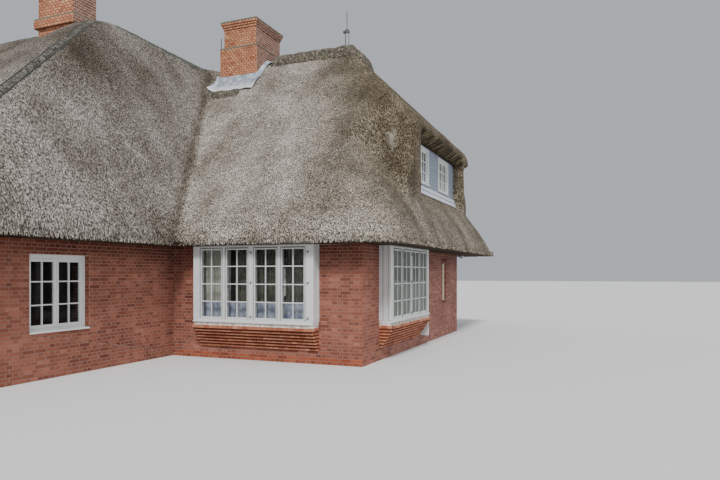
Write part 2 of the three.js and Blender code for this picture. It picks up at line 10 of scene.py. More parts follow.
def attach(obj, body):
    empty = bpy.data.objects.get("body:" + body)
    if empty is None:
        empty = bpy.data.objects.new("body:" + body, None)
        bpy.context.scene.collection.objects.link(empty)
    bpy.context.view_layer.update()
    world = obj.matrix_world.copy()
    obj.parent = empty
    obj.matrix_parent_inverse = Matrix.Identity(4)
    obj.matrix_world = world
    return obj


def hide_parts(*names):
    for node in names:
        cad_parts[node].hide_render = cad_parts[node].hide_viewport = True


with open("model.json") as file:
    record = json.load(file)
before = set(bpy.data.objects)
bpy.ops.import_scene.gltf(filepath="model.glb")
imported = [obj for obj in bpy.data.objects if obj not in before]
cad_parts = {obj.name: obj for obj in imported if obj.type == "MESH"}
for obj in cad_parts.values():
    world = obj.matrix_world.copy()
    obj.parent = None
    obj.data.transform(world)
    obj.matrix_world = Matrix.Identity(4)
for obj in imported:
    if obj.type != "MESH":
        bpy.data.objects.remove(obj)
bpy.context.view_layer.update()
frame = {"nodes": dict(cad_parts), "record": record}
nodes = frame["nodes"]
houseShift = Vector((7.125, -1.985, 0))  # from the wing's front right corner to the frame's origin
print("frame loaded:", len(nodes), "nodes")


# Helpers

def hexColour(code):  # sRGB hex to linear, opaque
    parts = [int(code[i:i + 2], 16) / 255 for i in (1, 3, 5)]
    return (*[p / 12.92 if p <= 0.04045 else ((p + 0.055) / 1.055) ** 2.4 for p in parts], 1)


# One node: sockets among its values are linked, the others are set
def addNode(tree, kind, values, output=0):
    node = tree.nodes.new("ShaderNode" + kind)
    for name, value in values.items():
        if isinstance(value, bpy.types.NodeSocket):
            tree.links.new(value, node.inputs[name])
        elif isinstance(name, int) or name in node.inputs:
            node.inputs[name].default_value = hexColour(value) if isinstance(value, str) else value
        else:
            setattr(node, name, value)
    return node.outputs[output]


def makePiece(name, bm, materials, replaces=(), bevel=0, segments=2, smooth=False, body="root"):
    bmesh.ops.translate(bm, vec=houseShift, verts=bm.verts)  # drawn from the wing's corner
    if smooth:
        for face in bm.faces:
            face.smooth = True
    mesh = bpy.data.meshes.new(name)
    bm.to_mesh(mesh)
    bm.free()
    piece = bpy.data.objects.new(name, mesh)
    bpy.context.scene.collection.objects.link(piece)
    for material in materials:
        mesh.materials.append(material)
    if bevel:
        edges = piece.modifiers.new("bevel", "BEVEL")
        edges.width, edges.segments, edges.limit_method = bevel, segments, "ANGLE"
    if body:
        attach(piece, body)
    if replaces:
        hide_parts(*replaces)
    return piece


def applyModifiers(piece):
    graph = bpy.context.evaluated_depsgraph_get()
    mesh = bpy.data.meshes.new_from_object(piece.evaluated_get(graph))
    old = piece.data
    piece.modifiers.clear()
    piece.data = mesh
    bpy.data.meshes.remove(old)


def addBox(bm, low, high, finish=0):  # closed box between two corners
    low, high = Vector(low), Vector(high)
    made = bmesh.ops.create_cube(bm, size=1)["verts"]
    bmesh.ops.scale(bm, vec=high - low, verts=made)
    bmesh.ops.translate(bm, vec=(low + high) / 2, verts=made)
    for face in {f for v in made for f in v.link_faces}:
        face.material_index = finish
    return made


def addRod(bm, x, y, z0, z1, radius, top=None, sides=12):  # upright rod, tapered where a top radius is given
    made = bmesh.ops.create_cone(bm, cap_ends=True, segments=sides, radius1=radius,
                                 radius2=radius if top is None else top, depth=z1 - z0)["verts"]
    bmesh.ops.translate(bm, vec=(x, y, (z0 + z1) / 2), verts=made)
    return made


def addGrid(bm, area, cell):  # flat grid over a rectangle
    x0, x1, y0, y1 = area
    bmesh.ops.create_grid(bm, x_segments=round((x1 - x0) / cell), y_segments=round((y1 - y0) / cell),
                          size=0.5)
    bmesh.ops.scale(bm, vec=(x1 - x0, y1 - y0, 1), verts=bm.verts)
    bmesh.ops.translate(bm, vec=((x0 + x1) / 2, (y0 + y1) / 2, 0), verts=bm.verts)


def extrude(bm, faces):  # the vertices that it makes
    made = bmesh.ops.extrude_face_region(bm, geom=faces)["geom"]
    return [v for v in made if isinstance(v, bmesh.types.BMVert)]


def rotate(bm, verts, angle, axis):
    bmesh.ops.rotate(bm, verts=verts, cent=(0, 0, 0), matrix=Matrix.Rotation(angle, 3, axis))


# Finishes: a table of named nodes for each, and colours laid over one another

sources = {  # what any finish can read
    "place": ("TexCoord", {}, "Object"), "normal": ("NewGeometry", {}, "Normal"),
    "x": ("SeparateXYZ", {0: "place"}, 0), "y": ("SeparateXYZ", {0: "place"}, 1),
    "z": ("SeparateXYZ", {0: "place"}, 2),
    "up": ("SeparateXYZ", {0: "normal"}, 2), "brickTone": ("Attribute", {"attribute_name": "tone"}, "Fac"),
}


def makeFinish(name, surface, fields, base, layers=(), bump=None):
    material = bpy.data.materials.new(name)
    material.use_nodes = True
    tree = material.node_tree
    shader = tree.nodes["Principled BSDF"]
    for socket, value in surface.items():
        shader.inputs[socket].default_value = value
    table, made = {**sources, **fields}, {}

    def find(value):  # the socket of a named node, which is added when first asked for, or the value itself
        if value in table and value not in made:
            kind, values, *output = table[value]
            made[value] = addNode(tree, kind, {key: find(part) for key, part in values.items()}, *output)
        return made.get(value, value)

    colour = None
    for blend, amount, shade in [(None, 0, base), *layers]:
        if isinstance(shade, tuple):  # a node's values through a colour ramp
            ramp = addNode(tree, "ValToRGB", {0: find(shade[0])})
            elements = ramp.node.color_ramp.elements
            while len(elements) < len(shade) - 1:
                elements.new(0.5)
            for element, (at, code) in zip(elements, shade[1:]):
                element.position = at
                element.color = hexColour(code)
            shade = ramp
        else:
            shade = find(shade)
        if blend:
            values = {"data_type": "RGBA", "blend_type": blend, 0: find(amount), 6: colour, 7: shade}
            shade = addNode(tree, "Mix", values, 2)
        colour = shade
    tree.links.new(colour, shader.inputs["Base Color"])
    if bump:
        height, strength, distance = bump
        values = {"Height": find(height), "Strength": strength, "Distance": distance}
        tree.links.new(addNode(tree, "Bump", values), shader.inputs["Normal"])
    return material


def thatchFinish():  # weathered water reed, combed upwards: a stipple of cut ends, bleached and streaked
    fields = {
        "tall": ("Mapping", {"Vector": "place", "Scale": (1, 1, 0.5)}),
        "taller": ("Mapping", {"Vector": "place", "Scale": (1, 1, 0.35)}),
        # clumps of 24 mm, because single reeds of 6 mm are too fine to show, on bundles of 110 mm
        "ends": ("TexNoise", {"Vector": "tall", "Scale": 42, "Detail": 4, "Roughness": 0.8}),
        "tufts": ("TexNoise", {"Vector": "place", "Scale": 9, "Detail": 3, "Roughness": 0.6}),
        # rain stains about 1100 mm wide, and worn patches of 480 mm
        "stains": ("TexNoise", {"Vector": "tall", "Scale": 0.9, "Detail": 4, "Roughness": 0.6}),
        "worn": ("TexNoise", {"Vector": "taller", "Scale": 2.1, "Detail": 3, "Roughness": 0.6}),
        "lean": ("Math", {"operation": "MULTIPLY_ADD", 0: "z", 1: 0.55, 2: "x"}),
        "outer": ("MapRange", {0: "lean", 1: 7.3, 2: 9.4}),
        "upper": ("MapRange", {0: "z", 1: 2.6, 2: 3.8, 3: 0.55}),
        "hipEnd": ("Math", {"operation": "MULTIPLY", 0: "outer", 1: "upper"}),
        "mainSlope": ("MapRange", {0: "x", 1: 2.4, 2: -0.8}),
        # the front valley runs where the slant is 1.98
        "slant": ("Math", {"operation": "MULTIPLY_ADD", 0: "y", 1: 0.554, 2: "x"}),
        "front": ("MapRange", {0: "y", 1: 2.6, 2: 2.0}),
        "mainSide": ("MapRange", {0: "slant", 1: 2.1, 2: 1.95}),
        "cool": ("Math", {"operation": "MULTIPLY", 0: "front", 1: "mainSide"}),
        "offset": ("Math", {"operation": "SUBTRACT", 0: "slant", 1: 1.98}),
        "apart": ("Math", {"operation": "ABSOLUTE", 0: "offset"}),
        "bottom": ("MapRange", {0: "apart", 1: 0.16, 2: 0.02}),
        "crease": ("Math", {"operation": "MULTIPLY", 0: "front", 1: "bottom"}),
        "fromChimney": ("VectorMath", {"operation": "DISTANCE", 0: "place", 1: (1.4, -2.9, 6.3)}, "Value"),
        "sooty": ("MapRange", {0: "fromChimney", 1: 2.0, 2: 0.4, 4: 0.75}),
        # faces turned downwards, which take painted shade
        "below": ("MapRange", {0: "up", 1: -0.25, 2: -0.7}),
    }
    layers = [
        ("MULTIPLY", 0.5, ("tufts", (0.3, "#a09a92"), (0.7, "#ffffff"))),
        ("MULTIPLY", 0.75, ("stains", (0.36, "#a59d93"), (0.6, "#ffffff"))),
        ("MULTIPLY", "hipEnd", ("worn", (0.3, "#938a76"), (0.7, "#c8c0ae"))),  # browner, most of all high up
        ("MULTIPLY", "mainSlope", ("worn", (0.3, "#b9b2ab"), (0.75, "#d9d4ce"))),  # duller, in brown patches
        ("MULTIPLY", "cool", "#f0f1f4"),  # the valley: greyer on its main side, with painted shade along its bottom
        # painted shade: darker in the crease along the valley's bottom
        ("MULTIPLY", "crease", "#c0b9b1"),
        ("MULTIPLY", "sooty", "#968c80"),
    ]
    # Pale streaks by the dormer
    for side, (x, y, z) in (("Near", (7.0, 0.03, 4.62)), ("Low", (7.5, 0.3, 3.15))):
        fields["away" + side] = ("VectorMath", {"operation": "DISTANCE", 0: "taller", 1: (x, y, z * 0.35)},
                                 "Value")
        fields["ragged" + side] = ("Math",
                                   {"operation": "MULTIPLY_ADD", 0: "tufts", 1: 0.5, 2: "away" + side})
        fields["bare" + side] = ("MapRange", {0: "ragged" + side, 1: 0.4, 2: 0.25, 4: 0.4})
        layers.append(("MIX", "bare" + side, ("ends", (0.4, "#8f897c"), (0.56, "#c9c4b6"))))
    layers.append(("MIX", "below", "#3a2f25"))  # painted shade: the undersides dark
    base = ("ends", (0.39, "#2a2623"), (0.46, "#706a62"), (0.53, "#aba398"), (0.59, "#f1e9dd"))
    return makeFinish("weatheredReed", {"Roughness": 0.92, "Specular IOR Level": 0.15}, fields, base, layers,
                      ("ends", 0.6, 0.02))


def sodFinish(name, stops, moss):  # heather and sod of the ridge: dark, matted, with moss in patches
    fields = {  # clumps of 60 mm, patches of 450 mm
        "clumps": ("TexNoise", {"Vector": "place", "Scale": 16, "Detail": 4, "Roughness": 0.7}),
        "patches": ("TexNoise", {"Vector": "place", "Scale": 2.2, "Detail": 3, "Roughness": 0.6}),
        "mossy": ("MapRange", {0: "patches", 1: 0.5, 2: 0.75, 4: 0.6}),
    }
    return makeFinish(name, {"Roughness": 0.95, "Specular IOR Level": 0.1}, fields, ("clumps", *stops),
                      [("MIX", "mossy", moss)], ("clumps", 0.8, 0.04))


# Hand-moulded fired clay, each brick its tone
def brickFinish(name, dark, middle, light, banded=False, warm=False):
    fields = {
        # grit of 8 mm, because the moulding sand is too fine to show, and weathering of 600 mm
        "grain": ("TexNoise", {"Vector": "place", "Scale": 120, "Detail": 3, "Roughness": 0.7}),
        "weather": ("TexNoise", {"Vector": "place", "Scale": 1.6, "Detail": 4, "Roughness": 0.6}),
        "front": ("MapRange", {0: "y", 1: 0.0, 2: -1.3}),
        # painted shadow of the eave, darkening the wall from 1.75 m up
        "sheltered": ("MapRange", {0: "z", 1: 1.75, 2: 2.2}),
        # painted shadow under each corbelled course
        "course": ("Math", {"operation": "DIVIDE", 0: "z", 1: 0.0625}),
        "part": ("Math", {"operation": "FRACT", 0: "course"}),
        "under": ("MapRange", {0: "part", 1: 0.4, 2: 0.62}),
        "corbelled": ("MapRange", {0: "z", 1: 0.628, 2: 0.622}),
        "dirt": ("Math", {"operation": "MULTIPLY", 0: "under", 1: "corbelled"}),
    }
    layers = [("MULTIPLY", 0.5, ("grain", (0.3, "#9a9290"), (0.7, "#ffffff"))),
              ("MULTIPLY", 0.45, ("weather", (0.35, "#a89c96"), (0.6, "#ffffff")))]
    if warm:  # redder at the front, as far as the right bay, and painted eave shadow: darker under the eave
        layers += [("MULTIPLY", "front", "#f0dccb"), ("MULTIPLY", "sheltered", "#c8b8ae")]
    if banded:  # painted shadow on the upper part of each course, under the course that steps out above it
        layers.append(("MULTIPLY", "dirt", "#987a6e"))
    base = ("brickTone", (0.0, dark), (0.5, middle), (1.0, light))
    return makeFinish(name, {"Roughness": 0.88, "Specular IOR Level": 0.2}, fields, base, layers,
                      ("grain", 0.5, 0.003))


# Lime and sand, struck flush: grit drawn as 11 mm specks to show
def mortarFinish(name, shade, pale, scale=90):
    fields = {"sand": ("TexNoise", {"Vector": "place", "Scale": scale, "Detail": 3, "Roughness": 0.7})}
    return makeFinish(name, {"Roughness": 0.95}, fields, ("sand", (0.3, shade), (0.7, pale)), (),
                      ("sand", 0.4, 0.002))


# Brushed oil paint on planed wood: faint brush lines and dirt
def paintFinish(name, base, shade, roughness=0.35):
    fields = {  # brush lines of 6 mm, coarser than bristles so that they show, and dirt in patches of 290 mm
        "upright": ("Mapping", {"Vector": "place", "Scale": (1, 1, 0.08)}),
        "brush": ("TexNoise", {"Vector": "upright", "Scale": 160, "Detail": 2, "Roughness": 0.5}),
        "patches": ("TexNoise", {"Vector": "place", "Scale": 3.5, "Detail": 4, "Roughness": 0.65}),
        "dirt": ("MapRange", {0: "patches", 1: 0.5, 2: 0.85, 4: 0.5}),
    }
    return makeFinish(name, {"Roughness": roughness}, fields, base, [("MIX", "dirt", shade)],
                      ("brush", 0.15, 0.001))


def glassFinish(name, dark, light, alpha):  # drawn window glass: glossy, nearly clear, in waves of 400 mm
    fields = {"waves": ("TexNoise", {"Vector": "place", "Scale": 2.5, "Detail": 1, "Roughness": 0.4})}
    return makeFinish(name, {"Roughness": 0.03, "IOR": 1.5, "Alpha": alpha}, fields,
                      ("waves", (0.3, dark), (0.7, light)), (), ("waves", 0.04, 0.01))


# Milled sheet lead, oxidised: dull blue-grey with pale bloom, its front edge white with lime
def leadFinish():
    fields = {  # bloom in patches of 140 mm
        "bloom": ("TexNoise", {"Vector": "place", "Scale": 7, "Detail": 5, "Roughness": 0.65}),
        "front": ("MapRange", {0: "y", 1: 1.72, 2: 1.56}),
    }
    return makeFinish("sheetLead", {"Roughness": 0.55, "Metallic": 0.5}, fields,
                      ("bloom", (0.3, "#7f8794"), (0.5, "#aab2be"), (0.68, "#d9dde2")),
                      [("MIX", "front", "#e3e5e6")], ("bloom", 0.5, 0.01))


def woodFinish(name, dark, light, grain=(14, 14, 0.9)):  # sawn softwood: long grain, open pores
    fields = {  # growth rings 18 mm apart, a figure 280 mm long
        "along": ("Mapping", {"Vector": "place", "Scale": grain}),
        "rings": ("TexNoise", {"Vector": "along", "Scale": 4, "Detail": 4, "Roughness": 0.6}),
    }
    return makeFinish(name, {"Roughness": 0.75}, fields, ("rings", (0.3, dark), (0.7, light)), (),
                      ("rings", 0.4, 0.003))


def clothFinish(name, dark, light):  # plain woven cotton or linen: soft, with a thread that shows as slubs
    fields = {  # slubs of 5 mm, because threads of 0.5 mm are too fine to show, and light and shade of 170 mm
        "upright": ("Mapping", {"Vector": "place", "Scale": (1, 1, 0.2)}),
        "thread": ("TexNoise", {"Vector": "upright", "Scale": 220, "Detail": 2, "Roughness": 0.6}),
        "cloud": ("TexNoise", {"Vector": "place", "Scale": 6, "Detail": 3, "Roughness": 0.6}),
    }
    return makeFinish(name, {"Roughness": 0.9}, fields, ("cloud", (0.3, dark), (0.7, light)), (),
                      ("thread", 0.2, 0.001))


thatchReed = thatchFinish()
ridgeSod = sodFinish("heatherSod", [(0.34, "#31322f"), (0.5, "#535751"), (0.66, "#7f827b")], "#566050")
greySod = sodFinish("greySod", [(0.38, "#2d2c29"), (0.5, "#57554e"), (0.62, "#7f7b74")], "#535449")
brownSod = sodFinish("brownHeather", [(0.36, "#2f2b26"), (0.5, "#5c554b"), (0.64, "#8b8377")], "#63634f")
wallBrick = brickFinish("handMouldedBrick", "#80504a", "#a46e61", "#c28a7c", warm=True)
chimneyBrick = brickFinish("orangeBrick", "#ae6a4f", "#d89470", "#e8b08c")
# painted shade: the chimneys' right sides, a darker, more purplish copy of the orange brick
shadedBrick = brickFinish("shadedSideBrick", "#744c42", "#9b7063", "#b68e7f")
plinthBrick = brickFinish("redOrangeBrick", "#84402a", "#a8573c", "#bd6c4a")
corbelBrick = brickFinish("corbelledBrick", "#a45e45", "#c17e60", "#d59a7c", banded=True)
bedMortar = mortarFinish("whiteBedMortar", "#8c6f60", "#f0ede6", 11)  # crumbled in patches of 90 mm
ledgeMortar = mortarFinish("weatheredCement", "#4f4b3e", "#7e7968")
fireClay = mortarFinish("fireClay", "#7d4a35", "#9a6148")
# dark joints, also used as painted shade on the bays' corbelled courses
darkJointAndShade = mortarFinish("soiledMortarAndShade", "#34201a", "#54372b")
roomPlaster = mortarFinish("limePlaster", "#c9c5bb", "#dedbd3")
wallMortar = mortarFinish("limeMortar", "#7b5f55", "#9c8276")
warmMortar = mortarFinish("warmMortar", "#7d5138", "#9c6d50")
chimneyMortar = mortarFinish("paleMortar", "#b09a88", "#cfbdab")
whitePaint = paintFinish("whiteGlossPaint", "#d2d3d2", "#b1b2b2")
creamPaint = paintFinish("creamPaint", "#ddd3bb", "#b8ac92")
greyPaint = paintFinish("blueGreyPaint", "#868f9e", "#6c7585", 0.55)
panelPaint = paintFinish("greyWhitePaint", "#d2d2d1", "#afb0b2", 0.5)
# painted shade: the grooves of the bay cheeks and the beads round the casements, grey as shadow lines
shadeLinePaint = paintFinish("paintedShadeLines", "#77777a", "#55565a", 0.7)
flashingPaint = paintFinish("paleGreyPaint", "#c3c6cf", "#9a9eaa", 0.5)
weatheredSteel = paintFinish("weatheredSteel", "#4c4f50", "#303334", 0.7)  # rusted dull, as matt as paint
dullBrass = paintFinish("dullBrass", "#7b756b", "#56514a", 0.5)  # tarnished, without shine
windowGlass = glassFinish("windowGlass", "#16191a", "#22282a", 0.22)
# painted reflection: the right bay's glass lighter and green, less clear than the other glass
reflectionGlass = glassFinish("glassWithPaintedReflection", "#2e3a2c", "#5c6b54", 0.62)
reedStalk = woodFinish("strawReed", "#655e45", "#a39a74", (14, 0.9, 14))
stainedWood = woodFinish("stainedSoftwood", "#2a1e15", "#4a3524")
tarredWood = woodFinish("tarredBatten", "#1e1f1c", "#3a3b36", (0.9, 14, 14))
sheetLead = leadFinish()
# cast and trowelled screed, waxed dark red-brown, clouded every 420 mm
screedCloud = {"cloud": ("TexNoise", {"Vector": "place", "Scale": 2.4, "Detail": 5, "Roughness": 0.6})}
trowelledFloor = makeFinish("trowelledFloor", {"Roughness": 0.5}, screedCloud,
                            ("cloud", (0.3, "#5a4a3f"), (0.7, "#7d6b5c")), (), ("cloud", 0.1, 0.01))
# hot-dip galvanised steel: dull, with spangles of 14 mm, and the aerial's rod above the ridge dark
zincFields = {"spangle": ("TexVoronoi", {"Vector": "place", "Scale": 70}, "Color"),
              "rod": ("MapRange", {0: "z", 1: 8.12, 2: 8.16})}
galvanised = makeFinish("galvanisedSteel", {"Roughness": 0.5, "Metallic": 0.8}, zincFields, "#94968f",
                        [("MIX", 0.15, "spangle"), ("MIX", "rod", "#2a2d2f")])
cafeCotton = clothFinish("cafeCotton", "#8291ad", "#e2e8f2")
paleCotton = clothFinish("paleCotton", "#b9c3cf", "#e2e8ee")
paleLinen = clothFinish("paleLinen", "#bdc1b0", "#dee1d2")
darkLinen = clothFinish("darkLinen", "#4a4b40", "#7f8070")
print("finishes made")


# Roof

roof = {
    "wing": (-9.33, 0.75, -0.5, 10.0), "main": (-15.0, -3.75, -6.03, 6.33),  # eaves: x0, x1, y0, y1
    "eaveTop": 2.5, "eaveRound": 0.33, "eaveDrop": 0.17, "corner": 0.7, "bottom": 2.2503,
    "wingFront": 1.02, "wingBack": 1.0, "wingEnd": 1.65, "mainSide": 0.8, "mainEnd": 1.84,
    "crossRidge": -6.54,
    "ridgeBlend": 0.9, "hipBlend": 1.5, "mainRidgeBlend": 1.2, "mainHipBlend": 0.5, "valleyBlend": 0.5,
    "depth": 0.5, "atticBottom": 2.4306, "voxel": 0.098, "lump": 0.018, "ruffle": 0.012,
    "whole": (-15.1, 0.85, -6.13, 10.1), "cells": {"roof": 0.12, "hood": 0.08, "attic": 0.35}, "sky": 9,
    "snap": 0.15,
    "lipZone": 0.06, "rim": 0.05, "waves": (0.7, 3.1),
    "bearing": 0.18,  # how far the thatch lies over the walls
}
wingWalls = (-8.8, 0.0, 0.0, 9.45)
mainWalls = (-14.45, -4.25, -5.5, 5.8)
hood = {
    "back": -3.2, "lip": 0.32, "top": 5.12, "slope": 1.0, "middle": 5.29, "half": 2.46, "fall": 0.7,
    "round": 0.08, "drop": 0.03, "lift": 0.35, "reach": 1.5, "under": 0.19,
    "span": (1.8, 8.8), "slopeArea": (-0.5, 1.5, 6.8, 9.9),
    # Plan of the space past the far cheek
    "recess": ((0.3, 7.25), (1.2, 7.25), (1.2, 9.6), (0.02, 9.6), (0.02, 7.65)),
}
dormer = {"y0": 2.83, "y1": 7.25, "sill": 3.6, "head": 4.84, "face": -0.07, "back": -0.36, "round": 0.3}


def smoothMin(a, b, blend):
    h = max(blend - abs(a - b), 0) / blend
    return min(a, b) - h * h * blend / 4


def smoothMax(a, b, blend):
    return -smoothMin(-a, -b, blend)


def edgeDistance(x, y, eave):  # from the rounded outline of an eave, inwards
    dx = min(x - eave[0], eave[1] - x)
    dy = min(y - eave[2], eave[3] - y)
    radius = roof["corner"]
    if dx > radius or dy > radius:
        return min(dx, dy)
    return radius - math.hypot(radius - dx, radius - dy)


def eaveDrop(distance):
    t = 1 - min(max(distance / roof["eaveRound"], 0), 1)
    return roof["eaveDrop"] * t * t


def wingSides(y):
    front = (y - roof["wing"][2]) * roof["wingFront"]
    back = (roof["wing"][3] - y) * roof["wingBack"]
    return smoothMin(front, back, roof["ridgeBlend"])


def wingRoof(x, y):
    eave = roof["wing"]
    rise = smoothMin(wingSides(y), (eave[1] - x) * roof["wingEnd"], roof["hipBlend"])
    rise = smoothMin(rise, (x - eave[0]) * roof["mainEnd"], roof["mainHipBlend"])
    return roof["eaveTop"] + rise - eaveDrop(edgeDistance(x, y, eave))


def gableless(x, y, eave, front, back, sideBlend):  # hipped roof over a rectangle
    sides = smoothMin((x - eave[0]) * roof["mainEnd"], (eave[1] - x) * roof["mainEnd"], sideBlend)
    ends = smoothMin((y - eave[2]) * front, (eave[3] - y) * back, sideBlend)
    rise = smoothMin(sides, ends, roof["mainHipBlend"])
    return roof["eaveTop"] + rise - eaveDrop(edgeDistance(x, y, eave))


def mainRoof(x, y):
    return gableless(x, y, roof["main"], roof["mainSide"], roof["mainSide"], roof["mainRidgeBlend"])


def crossRoof(x, y):
    main = roof["main"]
    eave = (2 * roof["crossRidge"] - main[1], main[1], main[2], roof["wing"][3])
    return gableless(x, y, eave, roof["mainSide"], roof["wingBack"], roof["mainHipBlend"])


def hoodHeight(x, y):
    side = max(0, abs(y - hood["middle"]) - hood["half"]) / hood["fall"]
    inwards = hood["lip"] - x
    t = 1 - min(inwards / hood["round"], 1)
    top = hood["top"] + hood["slope"] * inwards - hood["fall"] * side * side - hood["drop"] * t * t
    nearLip = max(0, 1 - inwards / hood["reach"])
    return min(top, roof["eaveTop"] + wingSides(y) + hood["lift"] * nearLip)


def plainRoof(x, y):
    height = smoothMax(wingRoof(x, y), crossRoof(x, y), roof["valleyBlend"])
    height = smoothMax(height, mainRoof(x, y), roof["valleyBlend"])
    return max(height, roof["eaveTop"] - roof["eaveDrop"])


def roofHeight(x, y):
    height = plainRoof(x, y)
    if hood["back"] < x <= hood["lip"]:
        height = max(height, hoodHeight(x, y))
    return height


def underHeight(area, bottom, height, cell):  # closed solid under a height, over a rectangle
    bm = bmesh.new()
    addGrid(bm, area, cell)
    for vert in bm.verts:
        vert.co.z = height(vert.co.x, vert.co.y)
    for vert in extrude(bm, bm.faces[:]):
        vert.co.z = bottom
    bmesh.ops.recalc_face_normals(bm, faces=bm.faces)
    return bm


def roundEdges(bm, edges, radius, segments):
    bmesh.ops.bevel(bm, geom=edges, offset=radius, offset_type="OFFSET", segments=segments, profile=0.5,
                    affect="EDGES", material=-1)


def roundedPrism(area, radius, z0, z1):
    bm = bmesh.new()
    addBox(bm, (area[0], area[2], z0), (area[1], area[3], z1))
    if radius:
        roundEdges(bm, [e for e in bm.edges if abs(e.verts[0].co.z - e.verts[1].co.z) > 0.1], radius, 5)
    return bm


def prism(corners, move):  # a flat outline, extruded by a move
    bm = bmesh.new()
    face = bm.faces.new([bm.verts.new(corner) for corner in corners])
    bmesh.ops.translate(bm, vec=move, verts=extrude(bm, [face]))
    bmesh.ops.recalc_face_normals(bm, faces=bm.faces)
    return bm


def combine(target, tool, operation):  # boolean of two closed meshes, the result in target
    modifier = target.modifiers.new("combine", "BOOLEAN")
    modifier.object = tool
    modifier.operation = operation
    modifier.solver = "MANIFOLD"
    applyModifiers(target)
    bpy.data.objects.remove(tool)
    return target


def tool(bm):  # a solid that only shapes another
    return makePiece("tool", bm, [], body=None)


def inset(area, amount):
    return (area[0] + amount, area[1] - amount, area[2] + amount, area[3] - amount)


def dormerTool():
    below = roof["eaveTop"] + (roof["wing"][1] - hood["lip"]) * roof["wingEnd"]
    far, high = hood["lip"] + 0.3, dormer["head"] + hood["under"]
    corners = [(dormer["back"], dormer["sill"]), (dormer["face"], dormer["sill"]), (hood["lip"], below),
               (far, below), (far, high), (hood["lip"], high), (dormer["face"], dormer["head"]),
               (dormer["back"], dormer["head"])]
    bm = prism([(x, dormer["y0"], z) for x, z in corners], (0, dormer["y1"] - dormer["y0"], 0))
    upper = [e for e in bm.edges if all(v.co.z > dormer["head"] - 0.01 for v in e.verts)
             and abs(e.verts[0].co.x - e.verts[1].co.x) > 0.1 and e.verts[0].co.y < dormer["y0"] + 0.1]
    roundEdges(bm, upper, dormer["round"], 6)
    return bm


def recessTool():  # under the hood's far end, down to the plain slope
    corners = [(x, y, roof["eaveTop"]) for x, y in hood["recess"]]
    space = tool(prism(corners, (0, 0, dormer["head"] - roof["eaveTop"])))
    return combine(space, tool(underHeight(hood["slopeArea"], 0, plainRoof, 0.1)), "DIFFERENCE")


def prismPair(first, second, radius, bottom):  # both outlines as one solid, up past the ridge
    pair = tool(roundedPrism(first, radius, bottom, roof["sky"]))
    return combine(pair, tool(roundedPrism(second, radius, bottom, roof["sky"])), "UNION")


def atticHeight(x, y):
    return max(plainRoof(x, y) - roof["depth"], roof["atticBottom"])


def makeThatch():
    bottom, cells = roof["bottom"], roof["cells"]
    thatch = makePiece("thatch", underHeight(roof["whole"], bottom, plainRoof, cells["roof"]), [thatchReed])
    hoodArea = (hood["back"], hood["lip"], *hood["span"])
    combine(thatch, tool(underHeight(hoodArea, bottom + 0.3, hoodHeight, cells["hood"])), "UNION")
    combine(thatch, prismPair(roof["wing"], roof["main"], roof["corner"], bottom), "INTERSECT")
    attic = tool(underHeight(roof["whole"], 0, atticHeight, cells["attic"]))
    rooms = prismPair(inset(wingWalls, roof["bearing"]), inset(mainWalls, roof["bearing"]), 0, -0.5)
    combine(thatch, combine(attic, rooms, "INTERSECT"), "DIFFERENCE")
    combine(thatch, tool(dormerTool()), "DIFFERENCE")
    combine(thatch, recessTool(), "DIFFERENCE")
    remesh = thatch.modifiers.new("remesh", "REMESH")
    remesh.mode = "VOXEL"
    remesh.voxel_size = roof["voxel"]
    applyModifiers(thatch)
    settleThatch(thatch)
    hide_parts("wing_thatch", "main_thatch")


def settleThatch(thatch):  # back on the true roof surface, edges softened, then uneven as laid by hand
    bm = bmesh.new()
    bm.from_mesh(thatch.data)
    bm.normal_update()
    loose = []
    for vert in bm.verts:
        x, y = vert.co.x - houseShift.x, vert.co.y - houseShift.y
        heights = roofHeight(x, y), plainRoof(x, y)
        low, high = hood["span"]
        nearLip = abs(x - hood["lip"]) < roof["lipZone"] and low < y < high and vert.co.z > 3
        rim = max(edgeDistance(x, y, roof["wing"]), edgeDistance(x, y, roof["main"])) < roof["rim"]
        near = [height for height in heights if abs(vert.co.z - height) < roof["snap"]]
        if vert.normal.z > 0.2 and near and not nearLip and not rim:
            vert.co.z = near[0]
        else:
            loose.append(vert)
    for _ in range(2):
        bmesh.ops.smooth_vert(bm, verts=loose, factor=0.5, use_axis_x=True, use_axis_y=True, use_axis_z=True)
    bm.normal_update()
    slow, quick = roof["waves"]
    for vert in bm.verts:
        lump = noise.noise(vert.co * slow) * roof["lump"] + noise.noise(vert.co * quick) * roof["ruffle"]
        vert.co += vert.normal * lump
    for face in bm.faces:
        face.smooth = True
    bm.to_mesh(thatch.data)
    bm.free()


fringe = {
    "seed": 11, "batch": 60, "taper": 0.6, "sides": 4, "lipRadius": (0.0045, 0.003),
    "step": 0.024, "radius": 0.011, "thin": (0.6, 1.3), "length": 0.13, "cut": (0.7, 1.2),
    "tilt": (-0.5, 0.1),
    "sway": (-0.3, 0.3), "spread": (0.005, 0.03), "uneven": (-0.012, 0.012),
    "lip": 85, "lipLength": (0.1, 0.32), "lipTilt": (-0.12, 0.12), "lipPlace": (0.1, 0.26), "lipStart": 0.45,
    "lipEnd": 0.3, "lipDrop": 0.035,
}


